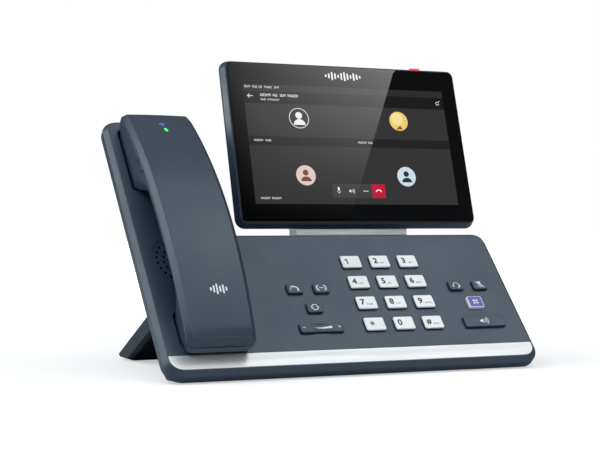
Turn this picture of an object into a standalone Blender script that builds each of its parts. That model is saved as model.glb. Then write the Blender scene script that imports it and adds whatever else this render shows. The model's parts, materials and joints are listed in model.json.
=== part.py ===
"""Desk IP phone with a tilting touch display, a cordless handset and a clip-on foot stand.

Lengths in this script are in millimetres and become metres when a mesh is made.
World axes: +X to the user's right, +Y away from the user, +Z up, the desk at z = 0.
The phone's own frame is the world's, moved back so that the finished phone is centred on it.
The base is an inclined slab: its local x runs across, y runs up the slope, z points out of it.
The display has a frame of the same kind, steeper, whose origin is on the tilt hinge.
"""
import math

import bmesh
import bpy
from mathutils import Matrix, Vector

MM = 0.001
GAP = 0.3
CENTRE_Y = 89.45

# Base slab
BASE_TILT = math.radians(47.2)
BASE_LIFT = 3.0
HALF_WIDTH = 129.4
FRONT = 4.6
PLATE_TOP = 117.9
COLUMN_TOP = 223.4
COLUMN_RIGHT = -62.6
CHAMFER = 3.4
COVER_WALL = 2.2
RIM_DEPTH = 8.8
REAR_DEPTH = 26.0
FLOOR_CLEARANCE = 1.6
TRIM_TOP = 18.8
TRIM_THICKNESS = 0.9

# Keys
KEYPAD_X = 37.3
KEYPAD_Y = 63.2
KEY_PITCH_X = 21.1
KEY_PITCH_Y = 17.6
KEY_RISE = 1.9
KEY_FLANGE_TOP = -2.6
KEY_FLANGE_THICKNESS = 1.1
DIGIT_KEY = (13.9, 10.1)
SMALL_KEY = (10.6, 7.8)
ROCKER = "volume_rocker"
ROCKER_SLACK = 0.9

# Handset: plan centre, length, arch and section
HANDSET_X = -94.7
HANDSET_START = 17.0
HANDSET_END = 217.0
ARCH_CENTRE = 115.0
ARCH_HEIGHT = 29.3
ARCH_DIAMETER = 640.0
HANDSET_FRONT_DEPTH = 4.6
HANDSET_CHAMFER = 3.4
HANDSET_WALL = 1.8
BLOCK_BOTTOM = -6.9
GRIP_BOTTOM = 15.0
# Underside stations: place along the handset, bottom height, side set-in at the knee and at the
# bottom, and how far the inner wall stands off along the handset
UNDERSIDE = (
    (17.0, 4.2, 0.6, 1.6, 1.8),
    (20.5, 1.2, 0.6, 1.6, 1.8),
    (26.5, 1.0, 0.6, 1.4, 1.8),
    (28.0, -6.9, 1.0, 2.6, 1.8),
    (46.0, -6.9, 1.7, 3.2, -1.8),
    (58.0, 14.5, 1.4, 4.8, -1.8),
    (85.0, 15.0, 0.8, 5.0, 0.0),
    (112.0, 15.6, 0.8, 5.0, 0.0),
    (139.0, 15.0, 0.8, 5.0, 1.6),
    (157.0, -1.0, 0.0, 1.0, 1.6),
    (160.0, -6.9, 0.0, 0.8, 1.6),
    (206.0, -6.9, 0.0, 0.8, -1.8),
    (211.0, 1.0, 0.0, 0.8, -1.8),
    (217.0, 2.4, 0.0, 0.8, -1.8),
)

# Display and its hinge
DISPLAY_TILT = math.radians(73.2)
DISPLAY_ORIGIN = (35.6, 97.8, 149.4)
HINGE_Y = -18.0
HINGE_Z = -22.5
DISPLAY_HALF_WIDTH = 90.5
DISPLAY_BOTTOM = -58.3
DISPLAY_TOP = 61.2
DISPLAY_DEPTH = 14.0
DISPLAY_EDGE_DEPTH = 8.0
DISPLAY_WALL = 2.0
GLASS_THICKNESS = 1.4
SHAFT_RADIUS = 3.0
KNUCKLE_RADIUS = 6.5

# Neck: across the base, in the phone's frame
NECK_HALF_WIDTH = 42.3
NECK_CHEEK = 3.5
NECK_EAR_RADIUS = 7.2

# Rubber feet: place across, size across and along, place along
FRONT_FEET = (92.0, (32.0, 13.0), 21.5)
STAND_FEET = (90.0, (30.0, 14.0), 164.0)

# Foot stand, in the phone's frame
STAND_HALF_WIDTH = 110.0
STAND_FLANGE = 5.0
STAND_TAB_X = 102.0
SLOT_LOW = 74.0
SLOT_HIGH = 94.5


# ---------------------------------------------------------------- outlines and meshes

def rounded_outline(corners, steps=6):
    """Anticlockwise corners (x, y, radius) as points, each corner turned by an arc."""
    points = []
    count = len(corners)
    for index, (x, y, radius) in enumerate(corners):
        corner = Vector((x, y))
        to_last = (Vector(corners[index - 1][:2]) - corner).normalized()
        to_next = (Vector(corners[(index + 1) % count][:2]) - corner).normalized()
        half_angle = to_last.angle(to_next) / 2.0
        centre = corner + (to_last + to_next).normalized() * (radius / math.sin(half_angle))
        reach = radius / math.tan(half_angle)
        start = corner + to_last * reach - centre
        end = corner + to_next * reach - centre
        start_angle = math.atan2(start.y, start.x)
        turn = math.remainder(math.atan2(end.y, end.x) - start_angle, 2.0 * math.pi)
        for step in range(steps + 1):
            angle = start_angle + turn * step / steps
            points.append((centre.x + radius * math.cos(angle), centre.y + radius * math.sin(angle)))
    return points


def rounded_rectangle(left, right, bottom, top, radius, steps=6):
    corners = [(left, bottom, radius), (right, bottom, radius), (right, top, radius), (left, top, radius)]
    return rounded_outline(corners, steps)


def base_outline(inset, height):
    """The L-shaped outline of the base, drawn in by inset, as 3D points at one height."""
    def radius(full):
        return max(full - inset, 1.5)

    left = -HALF_WIDTH + inset
    right = HALF_WIDTH - inset
    front = FRONT + inset
    corners = [
        (left, front, radius(12.0)),
        (right, front, radius(12.0)),
        (right, PLATE_TOP - inset, radius(9.4)),
        (COLUMN_RIGHT - inset, PLATE_TOP - inset, 5.0 + inset),
        (COLUMN_RIGHT - inset, COLUMN_TOP - inset, radius(11.0)),
        (left, COLUMN_TOP - inset, radius(12.0)),
    ]
    return [(x, y, height) for x, y in rounded_outline(corners)]


def loft(bm, loops):
    """Join loops of equal length into one closed skin with a flat face at each end."""
    rings = [[bm.verts.new(point) for point in loop] for loop in loops]
    for lower, upper in zip(rings, rings[1:]):
        for index in range(len(lower)):
            after = (index + 1) % len(lower)
            bm.faces.new((lower[index], lower[after], upper[after], upper[index]))
    bm.faces.new(rings[0])
    bm.faces.new(rings[-1])


def add_box(bm, low, high):
    size = Vector(high) - Vector(low)
    middle = (Vector(high) + Vector(low)) / 2.0
    matrix = Matrix.Translation(middle) @ Matrix.Diagonal((*size, 1.0))
    return bmesh.ops.create_cube(bm, size=1.0, matrix=matrix)["verts"]


def add_cylinder(bm, centre, radius, depth, axis="Z", segments=24):
    turn = {
        "X": Matrix.Rotation(math.pi / 2.0, 4, "Y"),
        "Y": Matrix.Rotation(-math.pi / 2.0, 4, "X"),
        "Z": Matrix.Identity(4),
    }[axis]
    bmesh.ops.create_cone(
        bm,
        cap_ends=True,
        segments=segments,
        radius1=radius,
        radius2=radius,
        depth=depth,
        matrix=Matrix.Translation(Vector(centre)) @ turn,
    )


def bevel_edges(bm, width, chosen, segments=1):
    edges = [edge for edge in bm.edges if chosen(edge)]
    bmesh.ops.bevel(bm, geom=edges, offset=width, segments=segments, affect="EDGES", profile=0.5)


def edge_at_height(height):
    """A test for edges that lie flat at one height."""
    def chosen(edge):
        return all(abs(vert.co.z - height) < 0.01 for vert in edge.verts)
    return chosen


def edge_is_upright(edge):
    first, second = edge.verts
    return abs(first.co.z - second.co.z) > 0.5


def make_object(name, bm, collection, parent=None, location=(0.0, 0.0, 0.0), material=None, smooth=False):
    """Turn a bmesh in millimetres into a named object in metres."""
    bmesh.ops.recalc_face_normals(bm, faces=bm.faces)
    bmesh.ops.scale(bm, vec=(MM, MM, MM), verts=bm.verts)
    mesh = bpy.data.meshes.new(name)
    bm.to_mesh(mesh)
    bm.free()
    if smooth:
        mesh.shade_smooth()
        mesh.set_sharp_from_angle(angle=math.radians(35.0))
    if material is not None:
        mesh.materials.append(material)
    obj = bpy.data.objects.new(name, mesh)
    obj.parent = parent
    obj.location = Vector(location) * MM
    collection.objects.link(obj)
    return obj


def loft_object(name, loops, collection, **options):
    bm = bmesh.new()
    loft(bm, loops)
    return make_object(name, bm, collection, **options)


def box_object(name, low, high, collection, **options):
    bm = bmesh.new()
    add_box(bm, low, high)
    return make_object(name, bm, collection, **options)


def cylinder_object(name, centre, radius, depth, collection, axis="Z", segments=24, **options):
    bm = bmesh.new()
    add_cylinder(bm, centre, radius, depth, axis, segments)
    return make_object(name, bm, collection, smooth=True, **options)


def side_prism(bm, profile, left, right):
    """A side profile of (y, z) points drawn out across x."""
    loft(bm, [[(x, y, z) for y, z in profile] for x in (left, right)])


def combine(target, operation, *cutters):
    for cutter in cutters:
        modifier = target.modifiers.new(f"{operation.lower()}_{cutter.name}", "BOOLEAN")
        modifier.operation = operation
        modifier.solver = "EXACT"
        modifier.object = cutter


def cut(target, *cutters):
    combine(target, "DIFFERENCE", *cutters)


def join(target, *pieces):
    combine(target, "UNION", *pieces)


# ---------------------------------------------------------------- scene, frames and materials

def clear_scene():
    for obj in list(bpy.data.objects):
        bpy.data.objects.remove(obj, do_unlink=True)


def new_collection(name):
    collection = bpy.data.collections.new(name)
    bpy.context.scene.collection.children.link(collection)
    return collection


def new_frame(name, collection, location, tilt=0.0, parent=None):
    frame = bpy.data.objects.new(name, None)
    frame.empty_display_size = 0.01
    frame.location = Vector(location) * MM
    frame.rotation_euler = (tilt, 0.0, 0.0)
    frame.parent = parent
    collection.objects.link(frame)
    return frame


def material(name, colour, roughness, metallic=0.0):
    mat = bpy.data.materials.new(name)
    mat.use_nodes = True
    shader = mat.node_tree.nodes["Principled BSDF"]
    shader.inputs["Base Color"].default_value = (*colour, 1.0)
    shader.inputs["Roughness"].default_value = roughness
    shader.inputs["Metallic"].default_value = metallic
    return mat


def make_materials():
    return {
        "slate": material("slate_plastic", (0.080, 0.105, 0.130), 0.45),
        "handset": material("handset_plastic", (0.052, 0.073, 0.095), 0.42),
        "dark": material("dark_plastic", (0.015, 0.018, 0.022), 0.5),
        "aluminium": material("brushed_aluminium", (0.83, 0.83, 0.84), 0.35, 1.0),
        "silver": material("silver_neck", (0.45, 0.45, 0.45), 0.4, 1.0),
        "steel": material("steel", (0.55, 0.56, 0.57), 0.3, 1.0),
        "gold": material("gold_contact", (0.85, 0.62, 0.25), 0.25, 1.0),
        "white_key": material("white_key", (0.84, 0.84, 0.86), 0.4),
        "purple_key": material("purple_key", (0.098, 0.073, 0.39), 0.4),
        "glass": material("display_glass", (0.004, 0.004, 0.005), 0.06),
        "panel": material("lcd_panel", (0.03, 0.03, 0.035), 0.3),
        "board": material("circuit_board", (0.02, 0.12, 0.05), 0.5),
        "rubber": material("rubber", (0.012, 0.012, 0.013), 0.85),
        "silicone": material("silicone", (0.30, 0.32, 0.34), 0.7),
        "red": material("red_lens", (0.80, 0.02, 0.02), 0.25),
        "green": material("green_lens", (0.03, 0.65, 0.06), 0.25),
        "blue": material("blue_lens", (0.10, 0.25, 0.80), 0.25),
        "battery": material("battery_wrap", (0.02, 0.05, 0.16), 0.5),
    }


# ---------------------------------------------------------------- keys

def digit_keys():
    """Names and centres of the twelve dial keys, row by row from the top."""
    rows = (("1", "2", "3"), ("4", "5", "6"), ("7", "8", "9"), ("star", "0", "hash"))
    keys = []
    for row, labels in enumerate(rows):
        for column, label in enumerate(labels):
            x = KEYPAD_X + (column - 1) * KEY_PITCH_X
            y = KEYPAD_Y + (1.5 - row) * KEY_PITCH_Y
            keys.append((f"key_{label}", x, y, *DIGIT_KEY, "white_key"))
    return keys


def function_keys():
    """Names, centres, sizes and materials of the keys beside the dial pad."""
    return [
        ("key_transfer", -30.8, 67.5, *SMALL_KEY, "slate"),
        ("key_conference", -12.2, 67.5, *SMALL_KEY, "slate"),
        ("key_redial", -21.5, 51.5, *SMALL_KEY, "slate"),
        (ROCKER, -21.5, 35.3, 29.8, 7.2, "slate"),
        ("key_headset", 87.3, 67.6, *SMALL_KEY, "slate"),
        ("key_mute", 105.7, 67.6, *SMALL_KEY, "slate"),
        ("key_app", 96.5, 52.6, 11.4, 9.4, "purple_key"),
        ("key_speaker", 96.8, 36.2, 30.0, 9.0, "slate"),
    ]


def flanged_cap(width, height, lip, flange_top, flange_thickness, top):
    """A flange that a wall holds back, and a cap that stands through the wall's hole."""
    bm = bmesh.new()
    low = (-width / 2.0 - lip, -height / 2.0 - lip, flange_top - flange_thickness)
    high = (width / 2.0 + lip, height / 2.0 + lip, flange_top)
    add_box(bm, low, high)
    bm.faces.ensure_lookup_table()
    seat = max(bm.faces, key=lambda face: face.calc_center_median().z)
    bmesh.ops.inset_region(bm, faces=[seat], thickness=lip, use_even_offset=True)
    raised = bmesh.ops.extrude_face_region(bm, geom=[seat])
    bmesh.ops.delete(bm, geom=[seat], context="FACES_ONLY")
    verts = [item for item in raised["geom"] if isinstance(item, bmesh.types.BMVert)]
    bmesh.ops.translate(bm, verts=verts, vec=(0.0, 0.0, top - flange_top))
    bevel_edges(bm, 0.4, edge_at_height(top))
    return bm


def make_key(name, x, y, width, height, mat, parts, parent):
    """A key whose flange sits under the plate; the rocker's is lower, to leave room to tilt."""
    flange_top = KEY_FLANGE_TOP
    if name == ROCKER:
        flange_top -= ROCKER_SLACK
    bm = flanged_cap(width, height, 0.8, flange_top, KEY_FLANGE_THICKNESS, KEY_RISE)
    return make_object(name, bm, parts, parent=parent, location=(x, y, 0.0), material=mat)


def make_keys(parts, base, mats):
    for name, x, y, width, height, colour in digit_keys() + function_keys():
        make_key(name, x, y, width, height, mats[colour], parts, base)


# ---------------------------------------------------------------- base covers

def key_hole_cutter(cutters, base):
    bm = bmesh.new()
    clearance = 0.35
    for _, x, y, width, height, _ in digit_keys() + function_keys():
        half_x = width / 2.0 + clearance
        half_y = height / 2.0 + clearance
        add_box(bm, (x - half_x, y - half_y, -6.0), (x + half_x, y + half_y, 3.0))
    return make_object("key_holes", bm, cutters, parent=base)


LOUDSPEAKER = (-99.0, 94.0)


def grille_cutter(cutters, base):
    """Rings of small sound holes above the loudspeaker."""
    bm = bmesh.new()
    spacing = 4.3
    add_cylinder(bm, (*LOUDSPEAKER, -1.0), 0.85, 8.0, segments=6)
    for ring in range(1, 5):
        for index in range(6 * ring):
            angle = 2.0 * math.pi * (index + 0.1 * ring) / (6 * ring)
            x = LOUDSPEAKER[0] + spacing * ring * math.cos(angle)
            y = LOUDSPEAKER[1] + spacing * ring * math.sin(angle)
            add_cylinder(bm, (x, y, -1.0), 0.85, 8.0, segments=6)
    return make_object("grille_holes", bm, cutters, parent=base)


WELL_FLOOR = BLOCK_BOTTOM - GAP
WELLS = {
    "ear_well": (-119.8, -69.6, 155.4, 211.8, 2.5),
    "mouth_well": (-116.0, -73.4, 25.8, 51.6, 2.5),
}


def well_loops(extents, grow, low, high):
    left, right, bottom, top, radius = extents
    outline = rounded_rectangle(left - grow, right + grow, bottom - grow, top + grow, radius + grow)
    return [[(x, y, z) for x, y in outline] for z in (low, high)]


def base_top_cover(parts, cutters, base, mats):
    """The L-shaped face: chamfered shell with wells for the handset, key holes and sound holes."""
    rim = [base_outline(0.0, -RIM_DEPTH), base_outline(0.0, -CHAMFER), base_outline(CHAMFER, 0.0)]
    cover = loft_object("base_top_cover", rim, parts, parent=base, material=mats["slate"])
    hollow_loops = [
        base_outline(COVER_WALL, -RIM_DEPTH - 1.0),
        base_outline(COVER_WALL, -CHAMFER - 1.0),
        base_outline(COVER_WALL + CHAMFER - 0.9, -COVER_WALL),
    ]
    cut(cover, loft_object("cover_hollow", hollow_loops, cutters, parent=base))
    for name, extents in WELLS.items():
        walls = well_loops(extents, 2.0, WELL_FLOOR - 1.6, -1.0)
        join(cover, loft_object(f"{name}_walls", walls, cutters, parent=base))
    for name, extents in WELLS.items():
        pocket = well_loops(extents, 0.0, WELL_FLOOR, 2.0)
        cut(cover, loft_object(f"{name}_pocket", pocket, cutters, parent=base))
    trim_seat = trim_outline(-0.3)
    seat_loops = [[(x, y, z) for x, y in trim_seat] for z in (-TRIM_THICKNESS - GAP, 1.0)]
    cut(cover, loft_object("trim_seat", seat_loops, cutters, parent=base))
    cut(cover, key_hole_cutter(cutters, base))
    cut(cover, charge_pad_cutter(cutters, base))
    cut(cover, grille_cutter(cutters, base))
    return cover


def trim_outline(inset):
    """The front strip: square upper corners, lower corners that follow the cover's."""
    edge = HALF_WIDTH - CHAMFER - 0.3 - inset
    low = FRONT + CHAMFER + 0.3 + inset
    high = TRIM_TOP - inset
    round_corner = 8.4 - inset
    corners = [(-edge, low, round_corner), (edge, low, round_corner), (edge, high, 0.4), (-edge, high, 0.4)]
    return rounded_outline(corners)


def trim_strip(parts, base, mats):
    outline = trim_outline(0.0)
    loops = [[(x, y, z) for x, y in outline] for z in (-TRIM_THICKNESS, 0.0)]
    return loft_object("trim_strip", loops, parts, parent=base, material=mats["aluminium"])


# Socket recess in the back of the base, and the sockets along its upper wall:
# name, centre across, width, height, mouth centres from the middle, mouth width, mouth height
RECESS = (-4.0, 104.0, 32.0, 60.0)
RECESS_TOP = -12.5
SOCKETS = (
    ("network_socket_pair", 19.0, 33.0, 12.4, (-8.2, 8.2), 11.8, 7.6),
    ("headset_socket", 49.0, 12.6, 12.4, (0.0,), 8.4, 7.0),
    ("power_socket", 68.0, 10.4, 12.4, (0.0,), 6.4, 6.4),
    ("usb_socket", 88.0, 15.0, 8.4, (0.0,), 12.4, 4.8),
)
SOCKET_FLOOR = -23.2
SCREWS = ((-94.0, 206.0), (-104.0, 36.0), (114.0, 44.0))


def recess_box(name, grow, low, cutters, base):
    left, right, bottom, top = RECESS
    corner_low = (left - grow, bottom - grow, low)
    corner_high = (right + grow, top + grow, RECESS_TOP + grow)
    return box_object(name, corner_low, corner_high, cutters, parent=base)


def floor_box(name, height, cutters, phone):
    """Everything under a level height."""
    return box_object(name, (-200.0, -60.0, -80.0), (200.0, 120.0, height), cutters, parent=phone)


def base_rear_cover(parts, cutters, phone, base, mats):
    """Tapered back shell with a level sole, a socket recess, screw posts and stand slots."""
    skin = [
        base_outline(1.2, -RIM_DEPTH - GAP),
        base_outline(5.5, -18.0),
        base_outline(9.0, -REAR_DEPTH),
    ]
    cover = loft_object("base_rear_cover", skin, parts, parent=base, material=mats["slate"])
    hollow = [
        base_outline(3.4, -RIM_DEPTH + 1.0),
        base_outline(7.7, -18.0),
        base_outline(10.6, -REAR_DEPTH + COVER_WALL),
    ]
    hollow_cutter = loft_object("rear_hollow", hollow, cutters, parent=base)
    cut(hollow_cutter, floor_box("hollow_floor", FLOOR_CLEARANCE + COVER_WALL, cutters, phone))
    cut(hollow_cutter, recess_box("recess_walls", COVER_WALL, -40.0, cutters, base))
    cut(hollow_cutter, screw_posts(cutters, base))
    cut(cover, floor_box("sole_cut", FLOOR_CLEARANCE, cutters, phone))
    cut(cover, hollow_cutter)
    cut(cover, recess_box("recess_space", 0.0, -40.0, cutters, base))
    cut(cover, socket_holes(cutters, base))
    cut(cover, screw_holes(cutters, base))
    cut(cover, stand_slots(cutters, base))
    return cover


def screw_posts(cutters, base):
    bm = bmesh.new()
    for x, y in SCREWS:
        add_cylinder(bm, (x, y, -20.0), 4.6, 14.0, segments=16)
    return make_object("screw_posts", bm, cutters, parent=base)


def screw_holes(cutters, base):
    """A head recess and a through hole at each screw post."""
    bm = bmesh.new()
    for x, y in SCREWS:
        seat = -REAR_DEPTH + 2.6
        profile = ((3.2, -REAR_DEPTH - 1.0), (3.2, seat), (1.7, seat), (1.7, -10.0))
        turned_loops(bm, x, y, profile, 16)
    return make_object("screw_holes", bm, cutters, parent=base)


def turned_loops(bm, x, y, profile, segments):
    """A turned shape about an upright axis at (x, y), from (radius, height) pairs."""
    loops = []
    for radius, height in profile:
        angles = [2.0 * math.pi * index / segments for index in range(segments)]
        loops.append([(x + radius * math.cos(a), y + radius * math.sin(a), height) for a in angles])
    loft(bm, loops)


def rear_screws(parts, base, mats):
    """Pan-head screws: the head sits in its recess, the shank runs up the post."""
    for number, (x, y) in enumerate(SCREWS, start=1):
        bm = bmesh.new()
        head = -REAR_DEPTH + 0.4
        profile = ((2.4, head), (2.9, head + 0.5), (2.9, head + 1.9), (1.4, head + 1.9), (1.4, -12.5))
        turned_loops(bm, 0.0, 0.0, profile, 16)
        name = f"rear_screw_{number}"
        make_object(name, bm, parts, parent=base, location=(x, y, 0.0), material=mats["steel"], smooth=True)


def socket_holes(cutters, base):
    """Windows in the recess's upper wall, one for each socket."""
    bm = bmesh.new()
    wall = RECESS[3]
    for _, x, width, height, _, _, _ in SOCKETS:
        half = width / 2.0 + GAP
        low = (x - half, wall - 1.0, SOCKET_FLOOR - GAP)
        high = (x + half, wall + COVER_WALL + 1.0, SOCKET_FLOOR + height + GAP)
        add_box(bm, low, high)
    return make_object("socket_holes", bm, cutters, parent=base)


def make_sockets(parts, cutters, base, mats):
    """Socket bodies whose open ends face down the slope into the recess."""
    front = RECESS[3] + 0.2
    for name, x, width, height, mouths, open_width, open_height in SOCKETS:
        low = (x - width / 2.0, front, SOCKET_FLOOR)
        high = (x + width / 2.0, front + 15.5, SOCKET_FLOOR + height)
        body = box_object(name, low, high, parts, parent=base, material=mats["dark"])
        middle = SOCKET_FLOOR + height / 2.0
        bm = bmesh.new()
        for offset in mouths:
            left = x + offset - open_width / 2.0
            hole_low = (left, front - 2.0, middle - open_height / 2.0)
            hole_high = (left + open_width, front + 12.0, middle + open_height / 2.0)
            add_box(bm, hole_low, hole_high)
        cut(body, make_object(f"{name}_mouths", bm, cutters, parent=base))


def stand_slots(cutters, base):
    bm = bmesh.new()
    for side in (-1.0, 1.0):
        middle = side * STAND_TAB_X
        low = (middle - 6.6, SLOT_LOW, -REAR_DEPTH - 1.0)
        high = (middle + 6.6, SLOT_HIGH, -REAR_DEPTH + COVER_WALL + 1.0)
        add_box(bm, low, high)
    return make_object("stand_slots", bm, cutters, parent=base)


def rubber_feet(name, x, size, y, parts, phone, mats):
    """A pair of round-cornered pads resting on the desk."""
    half_x = size[0] / 2.0
    half_y = size[1] / 2.0
    for side, label in ((-1.0, "left"), (1.0, "right")):
        bm = bmesh.new()
        add_box(bm, (-half_x, -half_y, 0.0), (half_x, half_y, FLOOR_CLEARANCE - GAP))
        bevel_edges(bm, 2.5, edge_is_upright, 3)
        place = (side * x, y, 0.0)
        make_object(f"{name}_{label}", bm, parts, parent=phone, location=place, material=mats["rubber"])


# ---------------------------------------------------------------- inside the base

def main_board(parts, base, mats):
    low = (-46.0, 24.0, -10.0)
    high = (118.0, 106.0, -8.4)
    return box_object("main_board", low, high, parts, parent=base, material=mats["board"])


def keypad_membrane(parts, base, mats):
    """The flat silicone mat under the keys, which springs them back."""
    low = (-42.0, 28.0, -7.8)
    high = (116.0, 99.0, -6.9)
    return box_object("keypad_membrane", low, high, parts, parent=base, material=mats["silicone"])


def loudspeaker(parts, base, mats):
    bm = bmesh.new()
    profile = ((9.0, -14.5), (9.0, -9.0), (18.6, -5.0), (18.6, -2.6))
    turned_loops(bm, 0.0, 0.0, profile, 32)
    place = (*LOUDSPEAKER, 0.0)
    make_object("loudspeaker", bm, parts, parent=base, location=place, material=mats["dark"], smooth=True)


CHARGE_PADS = ((-99.0, 36.0), (-90.4, 36.0))


def charge_pad_cutter(cutters, base):
    bm = bmesh.new()
    for x, y in CHARGE_PADS:
        add_cylinder(bm, (x, y, WELL_FLOOR), 1.9, 6.0, segments=16)
    return make_object("charge_pad_holes", bm, cutters, parent=base)


def charge_contacts(parts, base, mats):
    """Gold contacts in the floor of the lower well, which charge the handset."""
    for (x, y), label in zip(CHARGE_PADS, ("left", "right")):
        bm = bmesh.new()
        add_cylinder(bm, (0.0, 0.0, WELL_FLOOR - 1.2), 1.6, 2.4, segments=16)
        name = f"charge_contact_{label}"
        make_object(name, bm, parts, parent=base, location=(x, y, 0.0), material=mats["gold"], smooth=True)


# ---------------------------------------------------------------- handset

def arch(y):
    """Height of the handset's front face above the base plate."""
    return ARCH_HEIGHT - (y - ARCH_CENTRE) ** 2 / ARCH_DIAMETER


def handset_half_width(y):
    """The handset widens from the mouthpiece up, and its ends are rounded in plan."""
    along = min(max((y - HANDSET_START) / 120.0, 0.0), 1.0)
    width = 22.0 + 2.2 * math.sin(along * math.pi / 2.0)
    corner = 5.0
    from_end = min(y - HANDSET_START, HANDSET_END - y)
    if from_end < corner:
        width -= corner - math.sqrt(corner ** 2 - (corner - from_end) ** 2)
    return width


def front_shell_loop(y, slant, inset=0.0, drop=0.0):
    """One cross-section of the front shell; slant moves its top along the handset."""
    half = handset_half_width(y) - inset
    top = arch(y) - inset - 0.25 * max(slant, 0.0)
    parting = arch(y) - HANDSET_FRONT_DEPTH - drop
    shoulder = HANDSET_CHAMFER - 0.4 * inset
    upper = y + slant
    return [
        (-half, y, parting),
        (half, y, parting),
        (half, y + 0.6 * slant, top - shoulder),
        (half - shoulder, upper, top),
        (0.0, upper, top + 0.5),
        (-half + shoulder, upper, top),
        (-half, y + 0.6 * slant, top - shoulder),
    ]


def front_shell_stations():
    """Places along the handset, closer together at its rounded ends."""
    ends = (0.0, 1.0, 2.6, 5.0)
    low = [HANDSET_START + step for step in ends]
    high = [HANDSET_END - step for step in reversed(ends)]
    span = high[0] - low[-1]
    middle = [low[-1] + span * step / 12.0 for step in range(1, 12)]
    return low + middle + high


def end_slant(y):
    """The end faces lean in toward the top by this much, more at the mouthpiece."""
    reach = 9.0
    from_low = max(1.0 - (y - HANDSET_START) / reach, 0.0)
    from_high = max(1.0 - (HANDSET_END - y) / reach, 0.0)
    return 3.02 * from_low - 1.8 * from_high


def handset_front_shell(parts, cutters, frame, mats):
    loops = [front_shell_loop(y, end_slant(y)) for y in front_shell_stations()]
    look = {"material": mats["handset"], "smooth": True}
    shell = loft_object("handset_front_shell", loops, parts, parent=frame, **look)
    inner = []
    for y in front_shell_stations()[3:-3]:
        inner.append(front_shell_loop(y, 0.0, HANDSET_WALL, 3.0))
    cut(shell, loft_object("front_shell_hollow", inner, cutters, parent=frame))
    cut(shell, lamp_holes(cutters, frame))
    return shell


def rear_shell_loop(y, bottom, knee_inset, bottom_inset, wall=0.0, rise=0.0):
    half = handset_half_width(y) - wall
    parting = arch(y) - HANDSET_FRONT_DEPTH - GAP + rise
    low = bottom + wall
    knee = low + 0.45 * (arch(y) - HANDSET_FRONT_DEPTH - GAP - low)
    return [
        (-half, y, parting),
        (-half + knee_inset, y, knee),
        (-half + bottom_inset, y, low),
        (half - bottom_inset, y, low),
        (half - knee_inset, y, knee),
        (half, y, parting),
    ]


def underside_at(y):
    """Underside values at one place, read between the stations of the table."""
    for first, second in zip(UNDERSIDE, UNDERSIDE[1:]):
        if y <= second[0]:
            share = (y - first[0]) / (second[0] - first[0])
            return [a + (b - a) * share for a, b in zip(first[1:4], second[1:4])]
    return list(UNDERSIDE[-1][1:4])


def handset_rear_shell(parts, cutters, frame, mats):
    """Ear and mouth blocks joined by the thin underside of the grip."""
    extra = (18.0, 19.6, 22.0, 70.0, 98.0, 125.0, 185.0, 212.0, 214.4, 216.0)
    places = sorted([station[0] for station in UNDERSIDE] + list(extra))
    loops = [rear_shell_loop(y, *underside_at(y)) for y in places]
    look = {"material": mats["handset"], "smooth": True}
    shell = loft_object("handset_rear_shell", loops, parts, parent=frame, **look)
    inner = []
    for y, bottom, knee_inset, bottom_inset, stand_off in UNDERSIDE:
        place = y + stand_off
        loop = rear_shell_loop(place, bottom, knee_inset, bottom_inset, HANDSET_WALL, 4.0)
        inner.append(loop)
    inner[0] = rear_shell_loop(HANDSET_START + 3.0, 2.0, 2.0, 4.0, HANDSET_WALL, 4.0)
    inner[-1] = rear_shell_loop(HANDSET_END - 4.0, 1.8, 0.0, 0.8, HANDSET_WALL, 4.0)
    cut(shell, loft_object("rear_shell_hollow", inner, cutters, parent=frame))
    cut(shell, side_button_holes(cutters, frame))
    cut(shell, earpiece_holes(cutters, frame))
    cut(shell, handset_pad_holes(cutters, frame))
    return shell


STATUS_LAMP = (0.8, 192.4)
SYMBOL_LAMP = (-0.2, 199.4)
EARPIECE_Y = 184.0


def lamp_holes(cutters, frame):
    bm = bmesh.new()
    for (x, y), radius in ((STATUS_LAMP, 1.5), (SYMBOL_LAMP, 1.9)):
        add_cylinder(bm, (x, y, arch(y)), radius + 0.3, 9.0, segments=16)
    return make_object("lamp_holes", bm, cutters, parent=frame)


def handset_lamps(parts, frame, mats):
    lamps = (
        ("handset_status_lamp", STATUS_LAMP, 1.5, "green"),
        ("handset_symbol_lamp", SYMBOL_LAMP, 1.9, "blue"),
    )
    for name, (x, y), radius, colour in lamps:
        bm = bmesh.new()
        add_cylinder(bm, (0.0, 0.0, -1.6), radius, 3.4, segments=16)
        place = (x, y, arch(y) + 0.3)
        make_object(name, bm, parts, parent=frame, location=place, material=mats[colour], smooth=True)


# Buttons in the left flank: name, lower end, upper end
SIDE_BUTTONS = (
    ("handset_volume_rocker", 163.0, 179.0),
    ("handset_mute_button", 152.0, 158.0),
)
SIDE_BUTTON_DEPTH = 6.4
SIDE_BUTTON_HEIGHT = 2.8
SIDE_BUTTON_X = -23.0


def side_button_place(low_y, high_y):
    middle = (low_y + high_y) / 2.0
    return Vector((SIDE_BUTTON_X, middle, arch(middle) - SIDE_BUTTON_DEPTH))


def along_arch(low_y, high_y):
    """The turn that lays a side button parallel to the front face above it."""
    from_centre = (low_y + high_y) / 2.0 - ARCH_CENTRE
    return Matrix.Rotation(math.atan(-2.0 * from_centre / ARCH_DIAMETER), 4, "X")


def side_button_holes(cutters, frame):
    holes = bmesh.new()
    for _, low_y, high_y in SIDE_BUTTONS:
        reach = Vector((4.0, (high_y - low_y) / 2.0 + GAP, SIDE_BUTTON_HEIGHT / 2.0 + GAP))
        verts = add_box(holes, -reach, reach)
        place = Matrix.Translation(side_button_place(low_y, high_y))
        bmesh.ops.transform(holes, matrix=place @ along_arch(low_y, high_y), verts=verts)
    return make_object("side_button_holes", holes, cutters, parent=frame)


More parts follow.
